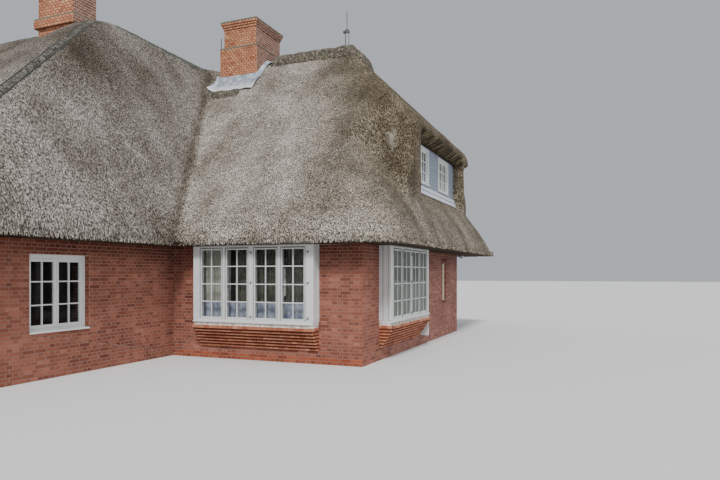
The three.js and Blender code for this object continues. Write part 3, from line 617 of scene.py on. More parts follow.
def outlinePoints(eave, other):  # along the rounded outline of an eave, outside the other eave
    x0, x1, y0, y1 = inset(eave, roof["corner"])
    corner, step = roof["corner"], fringe["step"]
    points = []
    centres = [Vector(c) for c in ((x1, y1), (x0, y1), (x0, y0), (x1, y0))]
    for i, centre in enumerate(centres):
        start = math.radians(90 * i)
        for j in range(round(corner * math.pi / 2 / step)):
            turn = start + j * step / corner
            points.append((centre + corner * Vector((math.cos(turn), math.sin(turn))), turn))
        turn = math.radians(90 * i + 90)
        away = Vector((math.cos(turn), math.sin(turn))) * corner
        begin, end = centre + away, centres[(i + 1) % 4] + away
        count = round((end - begin).length / step)
        points += [(begin.lerp(end, j / count), turn) for j in range(count)]
    return [(p, turn) for p, turn in points if edgeDistance(p.x, p.y, other) <= 0]


def moveInto(bm, batch):  # a small mesh joined to a large one, and a new empty small one
    mesh = bpy.data.meshes.new("batch")
    batch.to_mesh(mesh)
    batch.free()
    bm.from_mesh(mesh)
    bpy.data.meshes.remove(mesh)
    return bmesh.new()


def makeFringe():  # cut ends of reed at the eaves and under the hood's lip
    chooser = random.Random(fringe["seed"])
    bm, batch = bmesh.new(), bmesh.new()
    outlines = outlinePoints(roof["wing"], roof["main"]) + outlinePoints(roof["main"], roof["wing"])
    for count, (place, turn) in enumerate(outlines):
        if count % fringe["batch"] == fringe["batch"] - 1:
            batch = moveInto(bm, batch)
        radius = fringe["radius"] * chooser.uniform(*fringe["thin"])
        length = fringe["length"] * chooser.uniform(*fringe["cut"])
        made = addRod(batch, 0, 0, -length / 2, length / 2, radius, radius * fringe["taper"], fringe["sides"])
        tilt = Matrix.Rotation(turn, 3, "Z") @ Matrix.Rotation(chooser.uniform(*fringe["tilt"]), 3, "Y")
        sway = Matrix.Rotation(chooser.uniform(*fringe["sway"]), 3, "X")
        bmesh.ops.rotate(batch, verts=made, cent=(0, 0, 0), matrix=tilt @ sway)
        inwards = Vector((math.cos(turn), math.sin(turn))) * chooser.uniform(*fringe["spread"])
        low = roof["bottom"] + length / 2 - chooser.uniform(*fringe["uneven"])
        bmesh.ops.translate(batch, verts=made, vec=(place.x - inwards.x, place.y - inwards.y, low))
    moveInto(bm, batch).free()
    makePiece("eave_reed_ends", bm, [thatchReed])
    bm = bmesh.new()
    rise, run = hood["under"], hood["lip"] - dormer["face"]
    for _ in range(fringe["lip"]):
        length = chooser.uniform(*fringe["lipLength"])
        made = addRod(bm, 0, 0, -length / 2, length / 2, *fringe["lipRadius"], fringe["sides"])
        rotate(bm, made, math.pi / 2 - math.atan2(rise, run) + chooser.uniform(*fringe["lipTilt"]), "Y")
        x = chooser.uniform(*fringe["lipPlace"])
        y = chooser.uniform(dormer["y0"] + fringe["lipStart"], dormer["y1"] + fringe["lipEnd"])
        z = dormer["head"] + rise * (x - dormer["face"]) / run - fringe["lipDrop"]
        bmesh.ops.translate(bm, verts=made, vec=(x, y, z))
    makePiece("hood_reed_ends", bm, [reedStalk])


makeThatch()
print("thatch laid")


# Ridge caps and lead apron, laid on the thatch

caps = {
    "wing_ridge_cap": {"from": (-4.45, 4.69), "to": (-1.7, 4.69), "width": 0.84, "rise": 0.23, "lump": 0.03,
                       "shoulder": 0.25, "ends": 2.5, "finish": brownSod},
    "main_ridge_cap": {"from": (-12.21, 0.15), "to": (-7.91, 0.15), "width": 0.7, "rise": 0.08, "lump": 0.025,
                       "finish": ridgeSod},
    "cross_ridge_cap": {"from": (-6.54, 0.7), "to": (-6.54, 4.2), "width": 0.32, "rise": 0.035, "lump": 0.01,
                        "finish": ridgeSod},
    "main_hip_cap": {"from": (-6.44, 0.0), "to": (-3.98, -5.5), "width": 0.11, "rise": 0.03, "lump": 0.004,
                     "finish": greySod},
}
capFit = {"cell": 0.06, "sunk": 0.02, "deep": 0.06, "shoulder": 0.45}
# the dark battens beside the hip's cap
hipBatten = {"offset": 0.064, "width": 0.034, "rise": 0.022, "lump": 0.002, "finish": tarredWood}
apronRoll = {"from": (-6.04, 3.36), "to": (-4.9, 3.37), "width": 0.2, "rise": 0.11, "lump": 0.04, "ends": 2,
             "finish": brownSod}


def makeCap(name, cap, replaces=()):  # a rounded band that follows the roof under it
    start, end = Vector(cap["from"]), Vector(cap["to"])
    length, half = (end - start).length, cap["width"] / 2
    along = (end - start).normalized()
    across = Vector((-along.y, along.x))
    cell = min(capFit["cell"], half / 3)
    bm = bmesh.new()
    bmesh.ops.create_grid(bm, x_segments=round(length / cell), y_segments=round(cap["width"] / cell),
                          size=0.5)
    below = set(extrude(bm, bm.faces[:]))
    grid = [(v, v.co.x + 0.5, v.co.y * 2) for v in bm.verts]
    for vert, run, side in grid:
        place = start + along * run * length + across * side * half
        edge = min(1 - abs(side), min(run, 1 - run) * length / half * cap.get("ends", 1))
        edge = min(edge / cap.get("shoulder", capFit["shoulder"]), 1)
        swell = math.sqrt(max(0, 1 - (1 - edge) ** 2))
        height = roofHeight(place.x, place.y)
        height += -capFit["deep"] if vert in below else cap["rise"] * swell - capFit["sunk"]
        vert.co = (place.x, place.y, height)
    bmesh.ops.recalc_face_normals(bm, faces=bm.faces)
    bm.normal_update()
    for vert, run, side in grid:
        if vert not in below:
            vert.co += vert.normal * noise.noise(vert.co * 4) * cap["lump"]
    makePiece(name, bm, [cap["finish"]], replaces, smooth=True)


for capName, capValues in caps.items():
    makeCap(capName + "_sod", capValues, replaces=[capName])
hipStart, hipEnd = Vector(caps["main_hip_cap"]["from"]), Vector(caps["main_hip_cap"]["to"])
hipSide = (hipEnd - hipStart).normalized().orthogonal() * hipBatten["offset"]
for side, offset in (("left", -hipSide), ("right", hipSide)):
    makeCap("hip_batten_" + side, {**hipBatten, "from": hipStart + offset, "to": hipEnd + offset})
print("ridge caps laid")


wingStack = (-5.865, -4.69, 3.95, 5.43)
mainStack = (-7.84, -6.8, -0.23, 0.43)
apron = {
    "front": 0.47, "side": 0.13, "left": 0.12, "short": 0.2, "gap": 0.03, "lift": 0.07, "cell": 0.035,
    "curl": 0.09, "upstand": 0.1, "fillet": 0.035, "dent": 0.012, "ragged": 0.03, "thick": 0.012,
    "curlEven": 0.35, "curlVary": 0.65, "curlWaves": 3.1, "dentWaves": 9, "raggedWaves": 5,
    "raggedReach": 0.1,
}


def makeApron():  # sheet lead dressed round the foot of the wing's chimney, its free edge lifted in places
    x0, x1, y0, y1 = wingStack
    left, right = x0 - apron["left"], x1 + apron["side"]
    low, high = y0 - apron["front"], y1 - apron["short"]
    bm = bmesh.new()
    addGrid(bm, (left, right, low, high), apron["cell"])
    middles = {f: f.calc_center_median() for f in bm.faces}
    inside = [f for f, middle in middles.items() if y0 + apron["cell"] / 2 < middle.y and middle.x < x1]
    bmesh.ops.delete(bm, geom=inside, context="FACES")
    for vert in bm.verts:
        x, y = vert.co.x, vert.co.y
        edge = min(x - left, right - x, y - low, high - y)
        wall = max(y0 - y, x - x1, 0)  # distance from the brickwork
        wave = noise.noise((x * apron["curlWaves"], y * apron["curlWaves"], 2))
        curl = max(0, 1 - edge / apron["curl"]) ** 2 * (apron["curlEven"] + apron["curlVary"] * wave)
        rise = apron["upstand"] * math.exp(-wall / apron["fillet"]) + apron["lift"] * curl
        rise += apron["gap"] + apron["dent"] * noise.noise((x * apron["dentWaves"],
                                                            y * apron["dentWaves"], 0))
        vert.co.z = roofHeight(x, y) + rise
        wave = noise.noise((x * apron["raggedWaves"], 0, 7))
        vert.co.y += apron["ragged"] * wave * max(0, 1 - edge / apron["raggedReach"])
    bmesh.ops.recalc_face_normals(bm, faces=bm.faces)
    piece = makePiece("chimney_lead_apron", bm, [sheetLead], ["chimney_apron"], smooth=True)
    sheet = piece.modifiers.new("thickness", "SOLIDIFY")
    sheet.thickness, sheet.offset = apron["thick"], 0


makeApron()
makeCap("apron_thatch_roll", apronRoll)
makeFringe()
print("lead apron dressed, reed ends set")


# Brickwork: a wall's faces are cut into courses and bricks, and each brick stands proud of its joints

bricks = {
    "course": 0.0625, "stretcher": 0.22, "header": 0.11, "shift": 0.055, "joint": 0.0055, "raked": 0.008,
    "proud": 0.005, "corbelProud": 0.011, "smallest": 0.022, "plinth": 0.125, "roomTop": 2.26,
    "tone": (0.5, 0.2),  # middle and spread
}
rooms = ((-8.44, -0.36, 0.36, 9.09), (-14.09, -4.61, -5.14, 5.44))
porch = (-3.36, 0.01, 7.14, 9.46)
# Place in a wall's finishes
part = {"brick": 0, "joint": 1, "plain": 2, "accent": 3, "sideJoint": 4, "sideBrick": 5}
masonry = {
    "front_wall": {}, "right_wall": {}, "porch_back_wall": {}, "porch_side_wall": {}, "back_wall": {},
    "wing_left_wall": {}, "main_back_wall": {}, "main_left_wall": {}, "main_front_wall": {},
    "main_right_wall": {},
    "front_bay_base": {"high": 0.6875}, "right_bay_base": {"high": 0.6875},
    "wing_chimney_stack": {"datum": 0.045, "low": 6.4, "headers": True},
    "wing_chimney_shaft": {"datum": 0.035, "headers": True},
    "main_chimney_stack": {"datum": 0.045, "low": 6.2, "headers": True},
    "main_chimney_shaft": {"datum": 0.03, "headers": True},
}


def within(x, y, area):
    return area[0] < x < area[1] and area[2] < y < area[3]


def facesRoom(face):
    x, y, z = face.calc_center_median() + face.normal * 0.05
    return z < bricks["roomTop"] and any(within(x, y, room) for room in rooms) and not within(x, y, porch)


def cutAlong(bm, faces, planes, normal):  # the same faces, cut by a row of parallel planes
    geometry = set(faces)
    for face in faces:
        geometry.update(face.edges)
        geometry.update(face.verts)
    geometry = list(geometry)
    for point in planes:
        cut = bmesh.ops.bisect_plane(bm, geom=geometry, dist=0.0005, plane_co=point, plane_no=normal)
        geometry = cut["geom"]
    return [g for g in geometry if isinstance(g, bmesh.types.BMFace)]


def rowPlanes(faces, axis, pitch, shift):  # points on an axis where planes cross these faces
    if not faces:
        return []
    places = [v.co[axis] for f in faces for v in f.verts]
    first, last = math.ceil((min(places) - shift) / pitch), math.floor((max(places) - shift) / pitch)
    unit = Vector([1.0 if i == axis else 0.0 for i in range(3)])
    return [unit * (shift + k * pitch) for k in range(first, last + 1)]


def extent(face, axis):
    places = [v.co[axis] for v in face.verts]
    return max(places) - min(places)


def layFacing(bm, axis, wall):  # bricks on the faces that look along one axis
    low, high, datum = wall.get("low", -1), wall.get("high", 99), wall.get("datum", 0)
    upright = [f for f in bm.faces if abs(f.normal[axis]) > 0.9 and not facesRoom(f)]
    levels = rowPlanes(upright, 2, bricks["course"], datum)
    levels = [p for p in levels if low <= p.z <= high + 0.001]
    cut = cutAlong(bm, upright, levels, (0, 0, 1))
    along = 1 - axis
    normal = [0, 0, 0]
    normal[along] = 1
    laid = []
    pitches = (bricks["header"],) * 2 if wall.get("headers") else (bricks["header"], bricks["stretcher"])
    for parity, pitch in enumerate(pitches):
        rows = []
        for face in cut:
            middle = face.calc_center_bounds().z
            face.material_index = part["joint"]
            if low < middle < high and int((middle - datum) / bricks["course"]) % 2 == parity:
                rows.append(face)
        shift = bricks["shift"] if parity == 0 else 0
        laid += cutAlong(bm, rows, rowPlanes(rows, along, pitch, shift), normal)
    return [f for f in laid if extent(f, along) > bricks["smallest"] and extent(f, 2) > bricks["smallest"]]


def layBricks(node, wall, finishes):
    bm = bmesh.new()
    bm.from_mesh(nodes[node].data)
    bmesh.ops.translate(bm, vec=-houseShift, verts=bm.verts)
    bmesh.ops.remove_doubles(bm, verts=bm.verts, dist=0.0001)
    bmesh.ops.dissolve_limit(bm, angle_limit=0.02, verts=bm.verts, edges=bm.edges)
    tone = bm.faces.layers.float.new("tone")
    chooser = random.Random(node)
    for face in bm.faces:
        face.material_index = part["plain"]
    laid = layFacing(bm, 0, wall) + layFacing(bm, 1, wall)
    for face in laid:
        shadedSide = wall.get("headers") and face.normal.x > 0.9  # on the right side: painted shade, a darker copy of the brick
        face.material_index = part["sideBrick"] if shadedSide else part["brick"]
        face[tone] = min(max(chooser.gauss(*bricks["tone"]), 0), 1)
    if "high" in wall:  # a bay's base: painted shade on the flat faces of the courses, pale bed of mortar on top
        for face in bm.faces:
            height = face.calc_center_median().z
            if height > wall["high"]:
                face.material_index = part["plain"]
            elif abs(face.normal.z) > 0.9:
                face.material_index = part["accent"]
    elif "chimney" not in node:
        for face in bm.faces:
            low = face.calc_center_median().z < bricks["plinth"]
            if low and face.material_index == part["brick"] and face.normal.x < 0.5:
                face.material_index = part["accent"]
    proud = bricks["corbelProud"] if "high" in wall else bricks["proud"]
    bm.normal_update()
    corners = {(round(v.co.x, 3), round(v.co.y, 3)) for e in bm.edges if len(e.link_faces) == 2
               and all(abs(f.normal.z) < 0.5 for f in e.link_faces) and e.calc_face_angle(0) > 0.5
               for v in e.verts}
    joint = bricks["raked"] if wall.get("headers") else bricks["joint"]
    rings = bmesh.ops.inset_individual(bm, faces=laid, thickness=joint, depth=proud,
                                       use_even_offset=True)["faces"]
    for face in rings:
        onCorner = sum((round(v.co.x, 3), round(v.co.y, 3)) in corners for v in face.verts) > 1
        if "high" in wall:
            # on a bay's base, the rings that face down are painted dark as shade
            face.material_index = part["brick"] if face.normal.z > -0.3 else part["joint"]
        elif onCorner:
            face.material_index = part["brick"]
            face[tone] = bricks["tone"][0]
        elif wall.get("headers") and abs(face.normal.z) < 0.3:
            face.material_index = part["accent"]
        elif wall.get("headers") and face.normal.x > 0.4:
            face.material_index = part["sideJoint"]
        else:
            face.material_index = part["joint"]
    makePiece(node + "_brickwork", bm, finishes, [node])


for nodeName, wallValues in masonry.items():
    if "chimney" in nodeName:
        layBricks(nodeName, wallValues,
                  [chimneyBrick, warmMortar, warmMortar, darkJointAndShade, chimneyMortar, shadedBrick])
    elif "bay" in nodeName:
        layBricks(nodeName, wallValues, [corbelBrick, darkJointAndShade, bedMortar, darkJointAndShade])
    else:
        layBricks(nodeName, wallValues, [wallBrick, wallMortar, roomPlaster, plinthBrick])
print("bricks laid")


# Chimney tops: mortar weatherings, caps and flue liners

chimneyTops = {
    "wing": {"stack": wingStack, "back": 0.08, "ledge": 7.92, "head": 8.66, "top": 8.73, "out": 0.008,
             "flues": [(-5.55, 4.69), (-5.0, 4.69)]},
    "main": {"stack": mainStack, "back": 0.0, "ledge": 7.42, "head": 8.53, "top": 8.6, "out": 0.07,
             "flues": [(-7.55, 0.1), (-7.08, 0.1)]},
}
mortarCap = {"sunk": 0.012, "band": 0.022, "slope": 0.075, "headBand": 0.03, "overhang": 0.075,
             "narrow": 0.14,
             "crown": 0.005, "bevel": 0.006}
liner = {"outer": 0.125, "inner": 0.1, "above": 0.06, "bevel": 0.004}


def addFrustum(bm, area, z0, z1, narrow):  # box whose top is narrower on every side
    made = addBox(bm, (area[0], area[2], z0), (area[1], area[3], z1))
    middle = Vector(((area[0] + area[1]) / 2, (area[2] + area[3]) / 2))
    for vert in made:
        if vert.co.z > (z0 + z1) / 2:
            vert.co.x += narrow if vert.co.x < middle.x else -narrow
            vert.co.y += narrow if vert.co.y < middle.y else -narrow


def addTube(bm, x, y, z0, z1, outer, inner, sides=24):
    rims = [bmesh.ops.create_circle(bm, segments=sides, radius=r)["verts"] for r in (outer, inner)]
    edges = list({e for rim in rims for v in rim for e in v.link_edges})
    top = extrude(bm, bmesh.ops.bridge_loops(bm, edges=edges)["faces"])
    bmesh.ops.translate(bm, vec=(0, 0, z1 - z0), verts=top)
    bmesh.ops.translate(bm, vec=(x, y, z0), verts=top + rims[0] + rims[1])


def makeChimneyTop(name, top):
    ledge = inset(top["stack"], -top["out"])
    head = inset(top["stack"], top["back"] - mortarCap["overhang"])
    bm = bmesh.new()
    z, sunk, band, upper = top["ledge"], mortarCap["sunk"], mortarCap["band"], mortarCap["headBand"]
    addFrustum(bm, ledge, z - sunk, z + band, 0)
    addFrustum(bm, ledge, z + band, z + mortarCap["slope"], top["back"] + top["out"])
    addFrustum(bm, head, top["head"] - sunk, top["head"] + upper, 0)
    addFrustum(bm, head, top["head"] + upper, top["top"] + mortarCap["crown"], mortarCap["narrow"])
    makePiece(name + "_chimney_weathering", bm, [ledgeMortar], bevel=mortarCap["bevel"])
    bm = bmesh.new()
    for x, y in top["flues"]:
        addTube(bm, x, y, top["head"], top["top"] + liner["above"], liner["outer"], liner["inner"])
    bmesh.ops.recalc_face_normals(bm, faces=bm.faces)
    makePiece(name + "_chimney_flue_liners", bm, [fireClay], bevel=liner["bevel"])


for topName, topValues in chimneyTops.items():
    makeChimneyTop(topName, topValues)
print("chimney tops made")


# Bays: each is drawn around x = 0 with the wall at y = 0 and the outside at negative y,
# then turned into place

bay = {
    "half": 1.325, "depth": 0.25, "middles": (-0.91, -0.32, 0.32, 0.91), "opening": 0.25, "bottom": 0.8278,
    "top": 2.185, "stile": 0.02, "rail": 0.024, "bar": 0.019, "leafFront": -0.248, "leafBack": -0.216,
    "pane": -0.237,
    "barHeights": (1.152, 1.495, 1.838), "inner": (-0.196, -0.166), "knobHeights": (0.87, 1.528, 2.1),
    "boards": ((-0.25, -0.2, 0.014, 0), (-0.2, -0.186, 0.003, 2), (-0.186, -0.088, 0.006, 1),
               (-0.088, -0.074, 0.003, 2), (-0.074, -0.001, 0.016, 0)),  # y0, y1, thickness, finish
    "boardHeights": (0.79, 2.249), "sill": (0.75, 0.784), "sillOut": 0.034, "drip": (0.738, 0.754),
    "crown": (2.215, 2.232), "trimOut": 0.016, "bead": (0.005, 0.016), "beadOut": 0.009,
    "knob": (0.022, 0.024, 0.018),  # length, and radius at the frame and in front
    "gap": 0.002, "bed": 0.001, "lap": 0.001, "sillEnd": 0.006, "sillSlope": 0.012, "dripEnd": 0.004,
    "bevel": 0.003, "fittingBevel": 0.002, "innerLeft": 0.01, "innerRight": 0.026, "innerWide": 0.028,
    "innerLow": 0.02,
    "barSet": 0.004, "crossSet": 0.002, "paneLap": 0.004, "paneThick": 0.005, "paneEdge": 0.01,
    "fasteners": (1.08, 1.431, 1.542), "fastener": ((-0.262, -0.197, -0.022), (-0.24, -0.187, 0.022)),
}
frontBay = Matrix.Translation((-2.205, 0, 0))
rightBay = Matrix.Translation((0, 2.205, 0)) @ Matrix.Rotation(math.radians(90), 4, "Z")


curtains = {  # x0, x1, y, z0, z1, folds, depth of a fold, cloth, seed
    "front_bay_cafe_curtain": (-1.22, 1.22, -0.085, 0.80, 1.155, 17, 0.026, cafeCotton, 3),
    "front_bay_drape_left": (-1.24, -0.6, -0.03, 0.85, 2.2, 9, 0.016, paleLinen, 4),
    "front_bay_drape_middle": (-0.5, 0.56, -0.03, 0.85, 2.2, 12, 0.02, darkLinen, 5),
    "front_bay_drape_right": (0.64, 1.2, -0.03, 0.85, 2.2, 7, 0.02, darkLinen, 6),
}
gather = {"rows": 6, "perFold": 8, "swing": 0.8, "drift": 0.37, "phase": 6, "even": 0.55, "vary": 0.45,
          "slow": 0.7, "flare": 0.25, "lean": 0.1}
dormerCurtain = (-0.42, 0.42, 0.085, 3.96, 4.36, 10, 0.01, paleCotton)


def turned(bm, matrix):
    bmesh.ops.transform(bm, matrix=matrix, verts=bm.verts)
    return bm


def addFrame(bm, x0, x1, z0, z1, front, back, stile, rail):  # two uprights and the rails between them
    addBox(bm, (x0, front, z0), (x0 + stile, back, z1))
    addBox(bm, (x1 - stile, front, z0), (x1, back, z1))
    addBox(bm, (x0 + stile, front, z1 - rail), (x1 - stile, back, z1))
    addBox(bm, (x0 + stile, front, z0), (x1 - stile, back, z0 + rail))


def addLeaf(bm, x0, x1, z0, z1, front, back, leaf, columns, heights):  # casement with glazing bars
    stile, rail, bar = leaf["stile"], leaf["rail"], leaf["bar"]
    addFrame(bm, x0, x1, z0, z1, front, back, stile, rail)
    for i in range(1, columns):
        x = x0 + (x1 - x0) * i / columns
        addBox(bm, (x - bar / 2, front + leaf["barSet"], z0 + rail), (x + bar / 2, back, z1 - rail))
    for z in heights:
        addBox(bm, (x0 + stile, front + leaf["crossSet"], z - bar / 2), (x1 - stile, back, z + bar / 2))


def makeBay(name, matrix, stiles, posts, glazing):
    half, out, bottom, top = bay["half"], bay["depth"], bay["bottom"], bay["top"]
    bm = bmesh.new()
    for middle in bay["middles"]:
        x0, x1 = middle - bay["opening"] + bay["gap"], middle + bay["opening"] - bay["gap"]
        addLeaf(bm, x0, x1, bottom + bay["bed"], top - bay["bed"], bay["leafFront"], bay["leafBack"], bay, 2,
                bay["barHeights"])
        front, back = bay["inner"]
        # The second window behind the glass
        for x in (x0 - bay["innerLeft"], x1 - bay["innerRight"])[:stiles]:
            addBox(bm, (x, front, bottom - bay["innerLow"]), (x + bay["innerWide"], back, top))
    lap, wide = bay["lap"], half + bay["sillEnd"]
    addFrustum(bm, (-wide, wide, -out - bay["sillOut"], -lap), *bay["sill"], bay["sillSlope"])
    low, high = bay["drip"]
    wide = half + bay["dripEnd"]
    addBox(bm, (-wide, -out - bay["trimOut"], low), (wide, -lap, high))
    for x in (-half, half):  # boards on both cheeks, the grooves between them painted grey as shade
        for y0, y1, thick, finish in bay["boards"]:
            low, high = (x - thick, x + lap) if x < 0 else (x - lap, x + thick)
            addBox(bm, (low, y0, bay["boardHeights"][0]), (high, y1, bay["boardHeights"][1]), finish)
    near, far = bay["bead"]
    for middle in bay["middles"]:  # beads that cover the gap round each casement, painted grey as shadow lines
        x0, x1 = middle - bay["opening"], middle + bay["opening"]
        for left, low, right in ((x0 - far, bottom - far, x0 - near), (x1 + near, bottom - far, x1 + far),
                                 (x0 - far, top + near, x1 + far)):
            addBox(bm, (left, -out - bay["beadOut"], low), (right, -out + lap, top + far), 2)
    low, high = bay["crown"]
    addBox(bm, (-half, -out - bay["trimOut"], low), (half, -out + lap, high))
    makePiece(name + "_joinery", turned(bm, matrix), [whitePaint, panelPaint, shadeLinePaint],
              bevel=bay["bevel"])
    bm = bmesh.new()
    reach, edge = bay["opening"] - bay["stile"] + bay["paneLap"], bay["paneEdge"]
    for middle in bay["middles"]:
        addBox(bm, (middle - reach, bay["pane"], bottom + edge),
               (middle + reach, bay["pane"] + bay["paneThick"], top - edge))
    makePiece(name + "_panes", turned(bm, matrix), [glazing], [name + "_glass"])
    bm = bmesh.new()
    length, wide, narrow = bay["knob"]
    for x in posts:  # turn buttons
        for z in bay["knobHeights"]:
            made = addRod(bm, 0, 0, 0, length, wide, narrow)
            rotate(bm, made, math.radians(90), "X")
            bmesh.ops.translate(bm, verts=made, vec=(x, -out, z))
    for middle in bay["middles"]:  # fasteners seen through the glass
        for z in bay["fasteners"]:
            addBox(bm, *[Vector(corner) + Vector((middle, 0, z)) for corner in bay["fastener"]])
    makePiece(name + "_fittings", turned(bm, matrix), [dullBrass], bevel=bay["fittingBevel"])


def makeCurtain(name, matrix, x0, x1, y, z0, z1, folds, depth, material, seed):  # gathered cloth on a rod
    bm = bmesh.new()
    bmesh.ops.create_grid(bm, x_segments=folds * gather["perFold"], y_segments=gather["rows"], size=0.5)
    phase = random.Random(seed).random() * gather["phase"]
    for vert in bm.verts:
        run, height = vert.co.x + 0.5, vert.co.y + 0.5
        turn = run * folds * 2 * math.pi
        wave = math.sin(turn + gather["swing"] * math.sin(turn * gather["drift"] + phase)) * depth
        uneven = gather["vary"] * noise.noise((run * folds * gather["slow"], phase, 0))
        wave *= gather["even"] + uneven + gather["flare"] * (1 - height)
        sideways = gather["lean"] * depth * math.sin(turn * 2)
        vert.co = (x0 + (x1 - x0) * run + sideways, y + wave, z0 + (z1 - z0) * height)
    area = sum(f.calc_area() for f in bm.faces)
    piece = makePiece(name, turned(bm, matrix), [material], smooth=True)
    print(name, "flat size", round(area / (z1 - z0), 3), round(z1 - z0, 3))


makeBay("front_bay", frontBay, 2, (0.0, 1.225), windowGlass)
makeBay("right_bay", rightBay, 0, (0.0,), reflectionGlass)
for curtainName, curtainValues in curtains.items():
    makeCurtain(curtainName, frontBay, *curtainValues)
print("bays fitted")


# Windows of the other sides: two casements in a frame, each of two by three panes

window = {
    "width": 1.18, "bottom": 0.75, "top": 2.01, "depth": 0.11, "reveal": 0.09, "frame": 0.06, "stile": 0.05,
    "rail": 0.055, "bar": 0.022, "glass": 0.006, "glassAt": 0.04, "barSet": 0.004, "crossSet": 0.002,
    "gap": 0.002,
    "clear": 0.0005, "sillLap": 0.01, "sillOut": 0.03, "sillLow": 0.004, "sillHigh": 0.028,
    "leafFront": 0.012,
    "leafBack": 0.055, "bevel": 0.003,
}
slit = dict(window, width=0.4, bottom=0.98, top=1.96, reveal=0.05)
dormerWindow = dict(window, width=0.98, bottom=3.91, top=4.77, depth=0.1, reveal=0.0, frame=0.035,
                    stile=0.035,
                    rail=0.04)
plainWindows = {  # wall's outer face: axis, place, outward sign, and the window's middle along the wall
    "main_right_window": (0, -4.25, 1, -2.8), "main_front_window_right": (1, -5.5, -1, -6.7),
    "main_front_window_left": (1, -5.5, -1, -12.0), "main_left_window_front": (0, -14.45, -1, -3.0),
    "main_left_window_back": (0, -14.45, -1, 3.2), "main_back_window": (1, 5.8, 1, -11.6),
    "back_window_left": (1, 9.45, 1, -7.2), "back_window_right": (1, 9.45, 1, -4.7),
}
dormerMiddles = {"near": 4.08, "far": 6.08}
turns = {(1, -1): 0, (0, 1): 90, (1, 1): 180, (0, -1): -90}


def wallMatrix(axis, at, out, middle, reveal):  # from a drawing around x = 0 to its place in a wall
    face = at - out * reveal
    place = (face, middle, 0) if axis == 0 else (middle, face, 0)
    return Matrix.Translation(place) @ Matrix.Rotation(math.radians(turns[(axis, out)]), 4, "Z")


def makeWindow(name, place, unit, leaves, columns, rows, sill=True, paint=whitePaint):
    half, edge, depth = unit["width"] / 2 - unit["clear"], unit["frame"], unit["depth"]
    bottom, top = unit["bottom"] + unit["clear"], unit["top"] - unit["clear"]
    bm = bmesh.new()
    addFrame(bm, -half, half, bottom, top, 0, depth, edge, edge)
    x0, x1, z0, z1 = edge - half, half - edge, bottom + edge, top - edge
    width, gap = (x1 - x0) / leaves, unit["gap"]
    heights = [z0 + (z1 - z0) * i / rows for i in range(1, rows)]
    for i in range(leaves):
        addLeaf(bm, x0 + i * width + gap, x0 + (i + 1) * width - gap, z0 + gap, z1 - gap,
                unit["leafFront"], unit["leafBack"], unit, columns, heights)
    if sill:
        addFrustum(bm, (-half, half, -unit["reveal"] - unit["sillOut"], unit["sillLap"]),
                   bottom - unit["sillLow"],
                   bottom + unit["sillHigh"], unit["sillLap"])
    addBox(bm, (x0, unit["glassAt"], z0), (x1, unit["glassAt"] + unit["glass"], z1), 1)
    matrix = wallMatrix(*place, unit["reveal"])
    makePiece(name + "_unit", turned(bm, matrix), [paint, windowGlass], [name],
              unit["bevel"], 1)


for windowName, windowPlace in plainWindows.items():
    makeWindow(windowName, windowPlace, window, 2, 2, 3)
makeWindow("slit_window", (0, 0.0, 1, 5.98), slit, 1, 1, 1, sill=False, paint=creamPaint)
for side, middle in dormerMiddles.items():
    makeWindow("dormer_window_" + side, (0, dormer["face"], 1, middle), dormerWindow, 2, 2, 3, sill=False)
for seed, (side, middle) in enumerate(dormerMiddles.items(), 7):
    matrix = wallMatrix(0, dormer["face"], 1, middle, 0)
    makeCurtain("dormer_curtain_" + side, matrix, *dormerCurtain, seed)
print("windows fitted")


# Dormer: lapped boards, casings and the flashing under the windows

boards = {
    "boardBevel": 0.0015, "bevel": 0.003, "bandBevel": 0.004, "lap": 0.078, "overlap": 0.012, "thick": 0.02,
    "thin": 0.006, "from": 3.84,
    "openings": [(3.59, 4.57), (5.59, 6.57)], "casing": 0.045, "casingThick": 0.028,
    "casingHeights": (3.89, 4.8),
    "cover": 0.012, "head": 4.76, "ledge": (3.885, 3.915), "ledgeOut": 0.048, "behind": 0.0005, "end": 0.002,
    # Stepped flashing: z0, z1, reach
    "bands": ((3.735, 3.83, 0.075), (3.61, 3.715, 0.11)), "bandSlope": 0.03,
}


